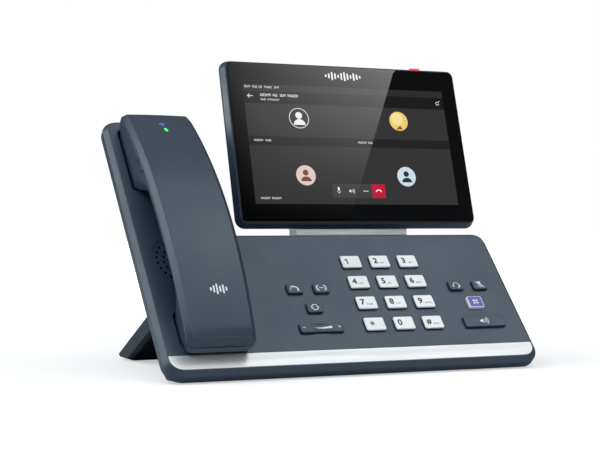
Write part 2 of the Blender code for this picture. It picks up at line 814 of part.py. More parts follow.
def handset_side_buttons(parts, frame, mats):
    """Flanged caps in the left flank, turned to face outward."""
    outward = Matrix.Rotation(-math.pi / 2.0, 4, "Y")
    for name, low_y, high_y in SIDE_BUTTONS:
        bm = flanged_cap(SIDE_BUTTON_HEIGHT, high_y - low_y, 0.5, -1.1, 1.2, 1.9)
        bmesh.ops.transform(bm, matrix=along_arch(low_y, high_y) @ outward, verts=bm.verts)
        place = side_button_place(low_y, high_y)
        make_object(name, bm, parts, parent=frame, location=place, material=mats["handset"])


def earpiece_holes(cutters, frame):
    bm = bmesh.new()
    add_cylinder(bm, (0.0, EARPIECE_Y, BLOCK_BOTTOM), 0.9, 6.0, segments=6)
    for index in range(6):
        angle = math.pi * index / 3.0
        place = (4.0 * math.cos(angle), EARPIECE_Y + 4.0 * math.sin(angle), BLOCK_BOTTOM)
        add_cylinder(bm, place, 0.9, 6.0, segments=6)
    return make_object("earpiece_holes", bm, cutters, parent=frame)


def handset_pad_holes(cutters, frame):
    bm = bmesh.new()
    for x, y in CHARGE_PADS:
        add_cylinder(bm, (x - HANDSET_X, y, BLOCK_BOTTOM), 1.8, 6.0, segments=16)
    return make_object("handset_pad_holes", bm, cutters, parent=frame)


def handset_insides(parts, frame, mats):
    """Earpiece, microphone, battery, board and the two charging pads."""
    cylinder_object(
        "handset_earpiece", (0.0, EARPIECE_Y, -2.6), 10.0, 4.4, parts, parent=frame, material=mats["dark"]
    )
    cylinder_object(
        "handset_microphone", (0.0, 41.0, -2.8), 2.6, 3.4, parts,
        segments=16, parent=frame, material=mats["steel"],
    )
    box_object("handset_battery", (-16.5, 84.0, 17.6), (16.5, 138.0, 23.6), parts, parent=frame,
               material=mats["battery"])
    box_object("handset_board", (-16.0, 164.0, 3.0), (16.0, 204.0, 4.2), parts, parent=frame,
               material=mats["board"])
    for (x, y), label in zip(CHARGE_PADS, ("left", "right")):
        bm = bmesh.new()
        add_cylinder(bm, (0.0, 0.0, 1.3), 1.5, 2.6, segments=16)
        place = (x - HANDSET_X, y, BLOCK_BOTTOM)
        name = f"handset_charge_pad_{label}"
        make_object(name, bm, parts, parent=frame, location=place, material=mats["gold"], smooth=True)


# ---------------------------------------------------------------- display

def display_loop(inset, height):
    """Housing outline drawn in by inset at one depth behind the glass."""
    half = DISPLAY_HALF_WIDTH - inset
    low = DISPLAY_BOTTOM + inset
    high = DISPLAY_TOP - inset
    outline = rounded_rectangle(-half, half, low, high, max(6.5 - inset, 3.0), 5)
    return [(x, y, height) for x, y in outline]


def display_back_cover(parts, cutters, frame, mats):
    """Open-fronted housing: bevelled rim, straight flank and a back that tapers to a flat panel."""
    skin = [
        display_loop(14.0, -DISPLAY_DEPTH),
        display_loop(0.0, -DISPLAY_EDGE_DEPTH),
        display_loop(0.0, -6.0),
        display_loop(2.0, -0.6),
    ]
    cover = loft_object("display_back_cover", skin, parts, parent=frame, material=mats["slate"])
    hollow = [
        display_loop(15.5, -DISPLAY_DEPTH + DISPLAY_WALL),
        display_loop(3.0, -DISPLAY_EDGE_DEPTH + 0.6),
        display_loop(3.0, -1.9),
    ]
    cut(cover, loft_object("display_hollow", hollow, cutters, parent=frame))
    glass_seat = [[(x, y, z) for x, y in glass_outline(-GAP)] for z in (-2.5, 1.0)]
    cut(cover, loft_object("glass_seat", glass_seat, cutters, parent=frame))
    lamp_slot = box_object("lamp_slot", (55.0, 56.0, -5.6), (63.6, 63.0, -2.2), cutters, parent=frame)
    cut(cover, lamp_slot)
    return cover


def glass_outline(inset):
    half = 88.2 - inset
    return rounded_rectangle(-half, half, -55.8 + inset, 58.7 - inset, 4.5 - inset, 5)


def display_glass(parts, frame, mats):
    outline = glass_outline(0.0)
    loops = [[(x, y, z) for x, y in outline] for z in (-GLASS_THICKNESS, 0.0)]
    return loft_object("display_glass", loops, parts, parent=frame, material=mats["glass"])


def display_insides(parts, frame, mats):
    box_object("lcd_panel", (-82.0, -48.0, -5.2), (82.0, 50.0, -1.8), parts, parent=frame,
               material=mats["panel"])
    bm = bmesh.new()
    add_box(bm, (55.3, 57.6, -5.3), (63.3, 61.6, -2.5))
    bevel_edges(bm, 0.5, lambda edge: all(vert.co.y > 60.0 for vert in edge.verts))
    make_object("message_lamp", bm, parts, parent=frame, material=mats["red"])


def display_hinge_bracket(parts, cutters, frame, mats):
    """Steel plate on the back of the display with a knuckle around the hinge shaft."""
    bm = bmesh.new()
    reach = NECK_HALF_WIDTH - NECK_CHEEK - GAP
    add_cylinder(bm, (0.0, HINGE_Y, HINGE_Z), KNUCKLE_RADIUS, 2.0 * reach, "X", 24)
    look = {"material": mats["steel"], "smooth": True}
    bracket = make_object("display_hinge_bracket", bm, parts, parent=frame, **look)
    plate_back = -DISPLAY_DEPTH - GAP
    web = box_object("hinge_web", (-30.0, HINGE_Y - 4.0, HINGE_Z), (30.0, HINGE_Y + 4.0, plate_back - 0.5),
                     cutters, parent=frame)
    plate = box_object("hinge_plate", (-34.0, -30.0, plate_back - 1.6), (34.0, -4.0, plate_back),
                       cutters, parent=frame)
    join(bracket, web, plate)
    bore = cylinder_object("hinge_bore", (0.0, HINGE_Y, HINGE_Z), SHAFT_RADIUS + GAP, 120.0, cutters,
                           axis="X", parent=frame)
    cut(bracket, bore)
    return bracket


# ---------------------------------------------------------------- neck

def back_plane(y, stand_off=GAP):
    """Phone-frame (y, z) of a point on the base's back, for a distance y up the slope."""
    depth = REAR_DEPTH + stand_off
    across = y * math.cos(BASE_TILT) + depth * math.sin(BASE_TILT)
    up = BASE_LIFT + y * math.sin(BASE_TILT) - depth * math.cos(BASE_TILT)
    return across, up


def hinge_point():
    """Phone-frame (y, z) of the display hinge."""
    y = DISPLAY_ORIGIN[1] + HINGE_Y * math.cos(DISPLAY_TILT) - HINGE_Z * math.sin(DISPLAY_TILT)
    z = DISPLAY_ORIGIN[2] + HINGE_Y * math.sin(DISPLAY_TILT) + HINGE_Z * math.cos(DISPLAY_TILT)
    return y, z


def neck_profile():
    """Side view of the neck: foot on the base's back, upright front, round ear at the hinge."""
    hinge_y, hinge_z = hinge_point()
    ear = []
    for step in range(9):
        angle = math.pi - math.pi * step / 8.0
        along = NECK_EAR_RADIUS * math.cos(angle)
        up = NECK_EAR_RADIUS * math.sin(angle)
        ear.append((hinge_y + along, hinge_z + up))
    front = [back_plane(96.5), back_plane(105.0), (98.0, 69.5), (98.0, 91.6), (104.5, 99.5)]
    back = [(111.4, 95.0), (109.2, 74.0), (101.0, 61.0), back_plane(96.5, 4.3)]
    return front + ear + back


NECK_CHANNEL = (
    (81.5, 45.9), (100.6, 66.6), (100.6, 90.6), (107.2, 98.6), (107.2, 108.0),
    (90.0, 108.0), (90.0, 145.0), (140.0, 145.0), (140.0, 30.0), (86.0, 30.0),
)


def neck_bracket(parts, cutters, phone, mats):
    """Silver bracket: front wall and foot between two cheeks that carry the hinge shaft."""
    bm = bmesh.new()
    side_prism(bm, neck_profile(), -NECK_HALF_WIDTH, NECK_HALF_WIDTH)
    place = (DISPLAY_ORIGIN[0], 0.0, 0.0)
    neck = make_object("neck_bracket", bm, parts, parent=phone, location=place, material=mats["silver"])
    bm = bmesh.new()
    inner = NECK_HALF_WIDTH - NECK_CHEEK
    side_prism(bm, NECK_CHANNEL, -inner, inner)
    cut(neck, make_object("neck_channel", bm, cutters, parent=phone, location=place))
    bore = cylinder_object("neck_bore", (0.0, *hinge_point()), SHAFT_RADIUS + GAP, 120.0, cutters,
                           axis="X", parent=phone, location=place)
    cut(neck, bore)
    return neck


def neck_rear_cover(parts, phone, mats):
    """Slim plate that closes the back of the neck between its cheeks."""
    profile = ((115.0, 110.0), (111.0, 96.0), (108.6, 73.5), (106.9, 73.5), (109.3, 96.4), (113.3, 110.4))
    bm = bmesh.new()
    half = NECK_HALF_WIDTH - NECK_CHEEK - GAP
    side_prism(bm, profile, -half, half)
    place = (DISPLAY_ORIGIN[0], 0.0, 0.0)
    make_object("neck_rear_cover", bm, parts, parent=phone, location=place, material=mats["silver"])


def hinge_shaft(parts, phone, mats):
    place = (DISPLAY_ORIGIN[0], *hinge_point())
    length = 2.0 * NECK_HALF_WIDTH - 0.6
    cylinder_object("hinge_shaft", (0.0, 0.0, 0.0), SHAFT_RADIUS, length, parts, axis="X",
                    parent=phone, location=place, material=mats["steel"])


# ---------------------------------------------------------------- foot stand

def foot_stand(parts, cutters, phone, base, mats):
    """A sloping plate with a flange at each end and two hooked tabs in the base's slots."""
    top = back_plane(94.0)
    sole = ((155.0, 1.6), (173.0, 1.6), (175.6, 3.4), (98.0, 38.2))
    flange = (top, back_plane(70.0), (100.0, 25.8), (152.0, 2.6), *sole)
    bm = bmesh.new()
    side_prism(bm, flange, -STAND_HALF_WIDTH, -STAND_HALF_WIDTH + STAND_FLANGE)
    stand = make_object("foot_stand", bm, parts, parent=phone, material=mats["slate"])
    bm = bmesh.new()
    side_prism(bm, flange, STAND_HALF_WIDTH - STAND_FLANGE, STAND_HALF_WIDTH)
    join(stand, make_object("right_flange", bm, cutters, parent=phone))
    plate = (top, back_plane(89.0), (96.0, 36.2), (146.0, 13.9), *sole)
    bm = bmesh.new()
    side_prism(bm, plate, -STAND_HALF_WIDTH + 1.0, STAND_HALF_WIDTH - 1.0)
    join(stand, make_object("stand_plate", bm, cutters, parent=phone))
    for side, label in ((-1.0, "left"), (1.0, "right")):
        join(stand, stand_tab(f"stand_tab_{label}", side * STAND_TAB_X, cutters, base))
    notch = box_object("cable_notch", (30.0, 140.0, -2.0), (70.0, 190.0, 9.0), cutters, parent=phone)
    cut(stand, notch)
    return stand


def stand_tab(name, x, cutters, base):
    """A neck through the wall of the base and a lip that hooks up behind it."""
    back = -REAR_DEPTH
    lip_low = back + COVER_WALL + 0.5
    lip_high = lip_low + 2.0
    profile = (
        (86.5, back - 3.0), (93.0, back - 3.0), (93.0, lip_low),
        (97.0, lip_low), (97.0, lip_high), (86.5, lip_high),
    )
    bm = bmesh.new()
    side_prism(bm, profile, x - 6.0, x + 6.0)
    return make_object(name, bm, cutters, parent=base)


# ---------------------------------------------------------------- assembly

def build():
    clear_scene()
    parts = new_collection("desk_ip_phone")
    cutters = new_collection("cutters")
    mats = make_materials()
    phone = new_frame("phone_frame", parts, (0.0, -CENTRE_Y, 0.0))
    base = new_frame("base_frame", parts, (0.0, 0.0, BASE_LIFT), BASE_TILT, phone)
    handset = new_frame("handset_frame", parts, (HANDSET_X, 0.0, 0.0), parent=base)
    hinge = new_frame("tilt_axis", parts, (DISPLAY_ORIGIN[0], *hinge_point()), DISPLAY_TILT, phone)
    display = new_frame("display_frame", parts, (0.0, -HINGE_Y, -HINGE_Z), parent=hinge)

    base_top_cover(parts, cutters, base, mats)
    base_rear_cover(parts, cutters, phone, base, mats)
    trim_strip(parts, base, mats)
    rear_screws(parts, base, mats)
    make_sockets(parts, cutters, base, mats)
    rubber_feet("front_foot", *FRONT_FEET, parts, phone, mats)
    main_board(parts, base, mats)
    keypad_membrane(parts, base, mats)
    loudspeaker(parts, base, mats)
    charge_contacts(parts, base, mats)
    make_keys(parts, base, mats)

    handset_front_shell(parts, cutters, handset, mats)
    handset_rear_shell(parts, cutters, handset, mats)
    handset_lamps(parts, handset, mats)
    handset_side_buttons(parts, handset, mats)
    handset_insides(parts, handset, mats)

    display_back_cover(parts, cutters, display, mats)
    display_glass(parts, display, mats)
    display_insides(parts, display, mats)
    display_hinge_bracket(parts, cutters, display, mats)

    neck_bracket(parts, cutters, phone, mats)
    neck_rear_cover(parts, phone, mats)
    hinge_shaft(parts, phone, mats)
    foot_stand(parts, cutters, phone, base, mats)
    rubber_feet("stand_foot", *STAND_FEET, parts, phone, mats)

    for cutter in cutters.objects:
        cutter.hide_render = True
        cutter.display_type = "WIRE"


build()
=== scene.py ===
"""Looks for the desk IP phone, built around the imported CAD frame."""
import json
import math

import bmesh
import bpy
from mathutils import Matrix, Vector

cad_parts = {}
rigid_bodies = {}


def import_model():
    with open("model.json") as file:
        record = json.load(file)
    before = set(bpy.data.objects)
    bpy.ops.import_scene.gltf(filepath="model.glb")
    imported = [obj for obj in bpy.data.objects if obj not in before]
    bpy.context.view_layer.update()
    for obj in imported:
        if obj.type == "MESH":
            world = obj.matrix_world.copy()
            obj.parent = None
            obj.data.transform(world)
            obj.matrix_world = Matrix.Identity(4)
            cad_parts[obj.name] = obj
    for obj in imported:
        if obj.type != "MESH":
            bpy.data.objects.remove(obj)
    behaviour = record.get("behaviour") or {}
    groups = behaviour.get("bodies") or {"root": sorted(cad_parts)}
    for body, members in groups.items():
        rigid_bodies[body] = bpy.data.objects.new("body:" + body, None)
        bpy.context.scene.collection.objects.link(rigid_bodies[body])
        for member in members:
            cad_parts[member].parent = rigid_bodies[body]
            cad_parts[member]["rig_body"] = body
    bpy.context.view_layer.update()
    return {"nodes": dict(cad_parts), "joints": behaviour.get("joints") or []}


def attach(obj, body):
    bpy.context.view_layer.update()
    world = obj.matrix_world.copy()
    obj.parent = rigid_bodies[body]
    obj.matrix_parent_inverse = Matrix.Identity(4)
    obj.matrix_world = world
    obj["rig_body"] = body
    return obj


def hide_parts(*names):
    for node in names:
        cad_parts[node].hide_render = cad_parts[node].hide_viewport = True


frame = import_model()

MM = 0.001
JOINTS = {joint["name"]: joint for joint in frame["joints"]}
LIFT = Vector(JOINTS["handset_lift"]["axis"])
BASE_TILT = math.atan2(-LIFT.y, LIFT.z)
DISPLAY_TILT = math.radians(73.2)
CENTRE_Y = 0.08945
BASE_RAISE = 0.003
HANDSET_X = -94.7
DISPLAY_PLACE = (0.0356, 0.0978 - CENTRE_Y, 0.1494)

# Each matrix takes millimetres in a part's own frame, +Z out of its face, to metres in the row frame.
SCALE = Matrix.Scale(MM, 4)
BASE = Matrix.Translation((0.0, -CENTRE_Y, BASE_RAISE)) @ Matrix.Rotation(BASE_TILT, 4, "X") @ SCALE
HANDSET = BASE @ Matrix.Translation((HANDSET_X, 0.0, 0.0))
DISPLAY = Matrix.Translation(DISPLAY_PLACE) @ Matrix.Rotation(DISPLAY_TILT, 4, "X") @ SCALE


# ---- node materials

MIX_FIRST, MIX_SECOND, MIX_RESULT = 6, 7, 2
GRAIN_SCALE = 2600.0
WORN_EDGE = 0.0006


class Nodes:
    """Short-hand for building a node tree: a new material's by default, or one that is given."""

    def __init__(self, name, tree=None):
        if tree is None:
            self.material = bpy.data.materials.new(name)
            self.material.use_nodes = True
            tree = self.material.node_tree
        self.tree = tree
        self.shader = tree.nodes.get("Principled BSDF")

    def add(self, kind, sockets=(), **settings):
        """A new node, with constants on its sockets given as (socket, value) pairs."""
        node = self.tree.nodes.new(kind)
        for key, value in settings.items():
            setattr(node, key, value)
        for key, value in sockets:
            node.inputs[key].default_value = value
        return node

    def set(self, **sockets):
        """Constants for the shader's sockets, with _ for a space in their names."""
        for key, value in sockets.items():
            self.shader.inputs[key.replace("_", " ")].default_value = value

    def link(self, source, target):
        """Join two sockets; a name stands for that socket of the shader."""
        self.tree.links.new(source, self.shader.inputs[target] if isinstance(target, str) else target)

    def join(self, node, *sources):
        """Give a node's first inputs their sources: sockets are linked, constants are set."""
        for source, target in zip(sources, node.inputs):
            if isinstance(source, bpy.types.NodeSocket):
                self.link(source, target)
            else:
                target.default_value = source

    def math(self, operation, first, second):
        node = self.add("ShaderNodeMath", operation=operation)
        self.join(node, first, second)
        return node.outputs[0]

    def dot(self, first, second):
        node = self.add("ShaderNodeVectorMath", operation="DOT_PRODUCT")
        self.join(node, first, second)
        return node.outputs["Value"]

    def coordinates(self, stretch=(1.0, 1.0, 1.0)):
        place = self.add("ShaderNodeTexCoord")
        mapping = self.add("ShaderNodeMapping", [("Scale", stretch)])
        self.link(place.outputs["Object"], mapping.inputs["Vector"])
        return mapping.outputs["Vector"]

    def noise(self, vector, scale, detail=2.0, roughness=0.5):
        sockets = [("Scale", scale), ("Detail", detail), ("Roughness", roughness)]
        node = self.add("ShaderNodeTexNoise", sockets)
        self.link(vector, node.inputs["Vector"])
        return node.outputs["Fac"]

    def spread(self, value, low, high, start=0.3, end=0.7, **settings):
        """Map a value that runs from start to end onto low..high, and clamp it there."""
        sockets = [("From Min", start), ("From Max", end), ("To Min", low), ("To Max", high)]
        node = self.add("ShaderNodeMapRange", sockets, **settings)
        self.link(value, node.inputs["Value"])
        return node.outputs["Result"]

    def blend(self, factor, first, second):
        """Mix two colours; the first may also be a socket."""
        node = self.add("ShaderNodeMix", data_type="RGBA")
        if isinstance(first, tuple):
            node.inputs[MIX_FIRST].default_value = (*first, 1.0)
        else:
            self.link(first, node.inputs[MIX_FIRST])
        node.inputs[MIX_SECOND].default_value = (*second, 1.0)
        self.link(factor, node.inputs[0])
        return node.outputs[MIX_RESULT]

    def bump(self, height, distance):
        node = self.add("ShaderNodeBump", [("Distance", distance)])
        self.link(height, node.inputs["Height"])
        return node.outputs["Normal"]

    def edges(self, radius):
        """1 on sharp convex edges, 0 on flat ground."""
        bevel = self.add("ShaderNodeBevel", [("Radius", radius)], samples=4)
        geometry = self.add("ShaderNodeNewGeometry")
        agreement = self.dot(bevel.outputs["Normal"], geometry.outputs["Normal"])
        return self.spread(agreement, 1.0, 0.0, 0.80, 0.99)


MATERIALS = {}


def shade(colour, factor):
    return tuple(min(channel * factor, 1.0) for channel in colour)


def moulded(name, colour, roughness, grain=0.00002, wear=0.35):
    """Injection-moulded plastic: fine grain, faint mottling, edges rubbed a little lighter."""
    kit = Nodes(name)
    place = kit.coordinates()
    broad = kit.noise(place, 14.0, 3.0)
    fine = kit.noise(place, GRAIN_SCALE, 2.0)
    colour_out = kit.blend(kit.spread(broad, 0.0, 1.0), shade(colour, 0.93), shade(colour, 1.07))
    if wear:
        patchy = kit.spread(kit.noise(place, 90.0, 4.0), 0.3 * wear, wear)
        rubbed = kit.math("MULTIPLY", kit.edges(WORN_EDGE), patchy)
        colour_out = kit.blend(rubbed, colour_out, shade(colour, 1.9))
    kit.link(colour_out, "Base Color")
    smudge = kit.noise(place, 30.0, 5.0, 0.6)
    kit.link(kit.spread(smudge, roughness - 0.05, roughness + 0.06), "Roughness")
    kit.link(kit.bump(fine, grain), "Normal")
    MATERIALS[name] = kit.material


def brushed(name, colour, roughness, stretch, depth, metallic=1.0):
    """Metal brushed along one axis: long fine scratches in the bump, colour and roughness."""
    kit = Nodes(name)
    place = kit.coordinates(stretch)
    lines = kit.noise(place, 900.0, 6.0, 0.75)
    streaks = kit.noise(place, 160.0, 4.0, 0.7)
    streaky = kit.spread(streaks, 0.0, 1.0, 0.25, 0.75)
    kit.link(kit.blend(streaky, shade(colour, 0.82), shade(colour, 1.08)), "Base Color")
    kit.link(kit.spread(lines, roughness - 0.1, roughness + 0.12), "Roughness")
    kit.set(Metallic=metallic)
    kit.link(kit.bump(lines, depth), "Normal")
    MATERIALS[name] = kit.material


def glossy(name, colour, roughness, emission=(0.0, 0.0, 0.0), strength=0.0):
    """Smooth hard surface with faint smears, lit from inside by an emission of some strength."""
    kit = Nodes(name)
    place = kit.coordinates()
    smear = kit.noise(place, 55.0, 5.0, 0.65)
    kit.link(kit.spread(smear, roughness * 0.7, roughness * 1.5), "Roughness")
    tint = kit.noise(place, 220.0, 2.0)
    mottled = kit.blend(kit.spread(tint, 0.0, 1.0), shade(colour, 0.94), shade(colour, 1.06))
    kit.link(mottled, "Base Color")
    kit.set(Emission_Color=(*emission, 1.0), Emission_Strength=strength)
    MATERIALS[name] = kit.material


SLATE = (0.028, 0.049, 0.079)
HANDSET_SLATE = (0.027, 0.046, 0.074)
DARK_GLASS = (0.0022, 0.0022, 0.0026)
GLASS_ROUGHNESS = 0.01
SMOOTH = {"grain": 0.000008, "wear": 0.0}
PRINTED = {"grain": 0.000004, "wear": 0.0}

moulded("slate", SLATE, 0.36)
moulded("handset", HANDSET_SLATE, 0.34, grain=0.000012)
moulded("skirt", (0.010, 0.015, 0.022), 0.5, wear=0.0)
moulded("function_skirt", (0.012, 0.019, 0.028), 0.5, wear=0.0)
moulded("function", SLATE, 0.36, wear=0.25)
# This plastic for the foot at the back is the slate darkened to 0.55 as painted shade, for the foot lies in the
# base's shadow.
moulded("stand", shade(SLATE, 0.55), 0.75)
moulded("dark", (0.012, 0.014, 0.017), 0.5, wear=0.15)
moulded("white", (0.88, 0.88, 0.89), 0.32, **SMOOTH)
moulded("purple", (0.098, 0.073, 0.39), 0.33, **SMOOTH)
moulded("purple_rim", (0.85, 0.82, 0.95), 0.35, **SMOOTH)
moulded("print_dark", (0.012, 0.012, 0.014), 0.45, **PRINTED)
moulded("print_grey", (0.17, 0.17, 0.19), 0.45, **PRINTED)
moulded("print_white", (0.80, 0.82, 0.84), 0.45, **PRINTED)
moulded("rubber", (0.012, 0.012, 0.013), 0.8, grain=0.00006, wear=0.3)
brushed("aluminium", (0.72, 0.72, 0.72), 0.34, (0.02, 1.0, 1.0), 0.000016, 0.5)
brushed("silver", (0.60, 0.61, 0.62), 0.34, (0.03, 1.0, 1.0), 0.000008, 0.85)
brushed("steel", (0.55, 0.56, 0.57), 0.28, (0.05, 1.0, 1.0), 0.00001)
brushed("gold", (0.85, 0.62, 0.25), 0.22, (1.0, 0.1, 1.0), 0.000005)
glossy("glass", DARK_GLASS, GLASS_ROUGHNESS)
moulded("board", (0.02, 0.12, 0.05), 0.4, grain=0.00003, wear=0.0)
moulded("silicone", (0.30, 0.32, 0.34), 0.65, grain=0.00003, wear=0.0)
moulded("battery", (0.02, 0.05, 0.16), 0.4, wear=0.0)
glossy("red", (0.75, 0.01, 0.01), 0.2, (1.0, 0.02, 0.02), 1.6)
glossy("green", (0.05, 0.75, 0.08), 0.2, (0.03, 1.0, 0.05), 1.5)
glossy("blue", (0.08, 0.16, 0.35), 0.2, (0.14, 0.30, 0.75), 0.55)


# ---- mesh helpers

def rounded_outline(corners, steps):
    """Anticlockwise corners (x, y, radius) as points, each corner turned by an arc."""
    points = []
    count = len(corners)
    for index, (x, y, radius) in enumerate(corners):
        corner = Vector((x, y))
        to_last = (Vector(corners[index - 1][:2]) - corner).normalized()
        to_next = (Vector(corners[(index + 1) % count][:2]) - corner).normalized()
        half_angle = to_last.angle(to_next) / 2.0
        centre = corner + (to_last + to_next).normalized() * (radius / math.sin(half_angle))
        reach = radius / math.tan(half_angle)
        start = corner + to_last * reach - centre
        end = corner + to_next * reach - centre
        start_angle = math.atan2(start.y, start.x)
        turn = math.remainder(math.atan2(end.y, end.x) - start_angle, 2.0 * math.pi)
        for step in range(steps + 1):
            angle = start_angle + turn * step / steps
            points.append((centre.x + radius * math.cos(angle), centre.y + radius * math.sin(angle)))
    return points


def rounded_rectangle(left, right, bottom, top, radius, steps=8):
    corners = [(left, bottom, radius), (right, bottom, radius), (right, top, radius), (left, top, radius)]
    return rounded_outline(corners, steps)


def soften(profile, radius, steps=4):
    """Round the inner corners of an open profile of (inset, height) pairs."""
    points = [Vector(point) for point in profile]
    result = [tuple(points[0])]
    for before, corner, after in zip(points, points[1:], points[2:]):
        to_before = (before - corner).normalized()
        to_after = (after - corner).normalized()
        reach = min(radius, 0.45 * (before - corner).length, 0.45 * (after - corner).length)
        start = corner + to_before * reach
        end = corner + to_after * reach
        for step in range(steps + 1):
            t = step / steps
            result.append(tuple(start * (1 - t) ** 2 + corner * 2 * t * (1 - t) + end * t ** 2))
    result.append(tuple(points[-1]))
    return result


def strip(bm, lower, upper, material_index=0):
    """Faces between two rings of vertices."""
    made = []
    for index in range(len(lower)):
        after = (index + 1) % len(lower)
        made.append(bm.faces.new((lower[index], lower[after], upper[after], upper[index])))
        made[-1].material_index = material_index
    return made


def loft(bm, loops, bands=None):
    """Join loops of equal length into a closed skin; bands gives the material of each band."""
    rings = [[bm.verts.new(point) for point in loop] for loop in loops]
    bands = bands or [0] * (len(loops) - 1)
    made = []
    for lower, upper, band in zip(rings, rings[1:], bands):
        made += strip(bm, lower, upper, band)
    for ring, band in ((rings[0], bands[0]), (rings[-1], bands[-1])):
        made.append(bm.faces.new(ring))
        made[-1].material_index = band
    bmesh.ops.recalc_face_normals(bm, faces=made)


def at(outline, z):
    return [(x, y, z) for x, y in outline]


def solid(loops, bands=None):
    """A new bmesh that holds one loft."""
    bm = bmesh.new()
    loft(bm, loops, bands)
    return bm


def rectangle_loops(left, right, bottom, top, radius, profile, least=0.0, steps=6):
    """Loops of a rounded rectangle, one for each (inset, height); corners keep at least some radius."""
    loops = []
    for inset, z in profile:
        sides = (left + inset, right - inset, bottom + inset, top - inset)
        loops.append(at(rounded_rectangle(*sides, max(radius - inset, least), steps), z))
    return loops


def prism(bm, outline, heights, bands=None):
    loft(bm, [at(outline, z) for z in heights], bands)


def add_box(bm, low, high):
    size = Vector(high) - Vector(low)
    middle = (Vector(high) + Vector(low)) / 2.0
    bmesh.ops.create_cube(bm, size=1.0, matrix=Matrix.Translation(middle) @ Matrix.Diagonal((*size, 1.0)))


def mesh_of(bm, name):
    mesh = bpy.data.meshes.new(name)
    bm.to_mesh(mesh)
    bm.free()
    return mesh


def new_object(name, data):
    obj = bpy.data.objects.new(name, data)
    bpy.context.scene.collection.objects.link(obj)
    return obj


def piece(name, bm, matrix, body, materials, replaces=(), smooth=32.0, weighted=True):
    """Turn a bmesh into a named object that rides on a CAD body."""
    bm.transform(matrix)
    mesh = mesh_of(bm, name)
    mesh.shade_smooth()
    mesh.set_sharp_from_angle(angle=math.radians(smooth))
    for key in materials:
        mesh.materials.append(MATERIALS[key])
    obj = new_object(name, mesh)
    if weighted:
        modifier = obj.modifiers.new("weighted_normals", "WEIGHTED_NORMAL")
        modifier.keep_sharp = True
    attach(obj, body)
    if replaces:
        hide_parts(*replaces)


def stand_in(name, bm, matrix, materials, node, smooth=32.0):
    """A piece that is shown instead of one CAD node, with that node's body."""
    piece(name, bm, matrix, frame["nodes"][node]["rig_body"], materials, [node], smooth)


def carve(bm, helper_solids, added=()):
    """Cut helper solids away in turn, or join those that are also in added, and return the new bmesh."""
    target = new_object("carve", mesh_of(bm, "carve"))
    helpers = []
    for solid_bm in helper_solids:
        operation = "UNION" if solid_bm in added else "DIFFERENCE"
        cutter = new_object("cutter", mesh_of(solid_bm, "cutter"))
        modifier = target.modifiers.new("carve", "BOOLEAN")
        modifier.operation = operation
        modifier.solver = "EXACT"
        modifier.object = cutter
        helpers.append(cutter)
    depsgraph = bpy.context.evaluated_depsgraph_get()
    mesh = bpy.data.meshes.new_from_object(target.evaluated_get(depsgraph))
    result = bmesh.new()
    result.from_mesh(mesh)
    for obj in [target] + helpers:
        bpy.data.objects.remove(obj, do_unlink=True)
    bmesh.ops.remove_doubles(result, verts=result.verts, dist=0.0005)
    return result


FLAT_ANGLE = math.radians(1.0)
SHARP_ANGLE = math.radians(28.0)


def refined(node, material, width):
    """A CAD node again, with its edges softened."""
    bm = bmesh.new()
    bm.from_mesh(frame["nodes"][node].data)
    bmesh.ops.remove_doubles(bm, verts=bm.verts, dist=1e-6)
    bmesh.ops.dissolve_limit(bm, angle_limit=FLAT_ANGLE, verts=bm.verts, edges=bm.edges)
    bmesh.ops.recalc_face_normals(bm, faces=bm.faces)
    if width:
        inner = [edge for edge in bm.edges if len(edge.link_faces) == 2]
        sharp = [edge for edge in inner if edge.calc_face_angle(0.0) > SHARP_ANGLE]
        bmesh.ops.bevel(
            bm, geom=sharp, offset=width * MM, segments=2, affect="EDGES", profile=0.5, clamp_overlap=True,
        )
    stand_in(f"{node}_shown", bm, Matrix.Identity(4), [material], node)


# ---- base face

FRONT = 4.6
HALF_WIDTH = 129.4
PLATE_TOP = 117.9
COLUMN_TOP = 223.4
COLUMN_RIGHT = -62.6
BASE_CORNERS = (
    # x, y and radius; the corner between plate and column turns inwards
    (-HALF_WIDTH, FRONT, 12.0), (HALF_WIDTH, FRONT, 12.0), (HALF_WIDTH, PLATE_TOP, 9.4),
    (COLUMN_RIGHT, PLATE_TOP, None), (COLUMN_RIGHT, COLUMN_TOP, 11.0), (-HALF_WIDTH, COLUMN_TOP, 12.0),
)
INNER_CORNER = 5.0


def base_outline(inset, height, steps=12):
    """Outline of the base's face, drawn in by inset."""
    corners = []
    for x, y, radius in BASE_CORNERS:
        x += inset if x == -HALF_WIDTH else -inset
        y += inset if y == FRONT else -inset
        corners.append((x, y, INNER_CORNER + inset if radius is None else max(radius - inset, 1.5)))
    return at(rounded_outline(corners, steps), height)


KEYPAD = (37.3, 63.2)
KEY_PITCH = (21.1, 17.6)
DIGIT_KEY = (13.9, 10.1)
SMALL_KEY = (10.6, 7.8)
KEY_RISE = 1.9
DIAL = (("1", "2", "3"), ("4", "5", "6"), ("7", "8", "9"), ("star", "0", "hash"))
LETTERS = {
    "2": "ABC", "3": "DEF", "4": "GHI", "5": "JKL", "6": "MNO",
    "7": "PQRS", "8": "TUV", "9": "WXYZ", "star": ".", "hash": "SEND",
}
FUNCTION_KEYS = {
    "key_transfer": (-30.8, 67.5, *SMALL_KEY),
    "key_conference": (-12.2, 67.5, *SMALL_KEY),
    "key_redial": (-21.5, 51.5, *SMALL_KEY),
    "volume_rocker": (-21.5, 35.3, 29.8, 7.2),
    "key_headset": (87.3, 67.6, *SMALL_KEY),
    "key_mute": (105.7, 67.6, *SMALL_KEY),
    "key_app": (96.5, 52.6, 11.4, 9.4),
    "key_speaker": (96.8, 36.2, 30.0, 9.0),
}


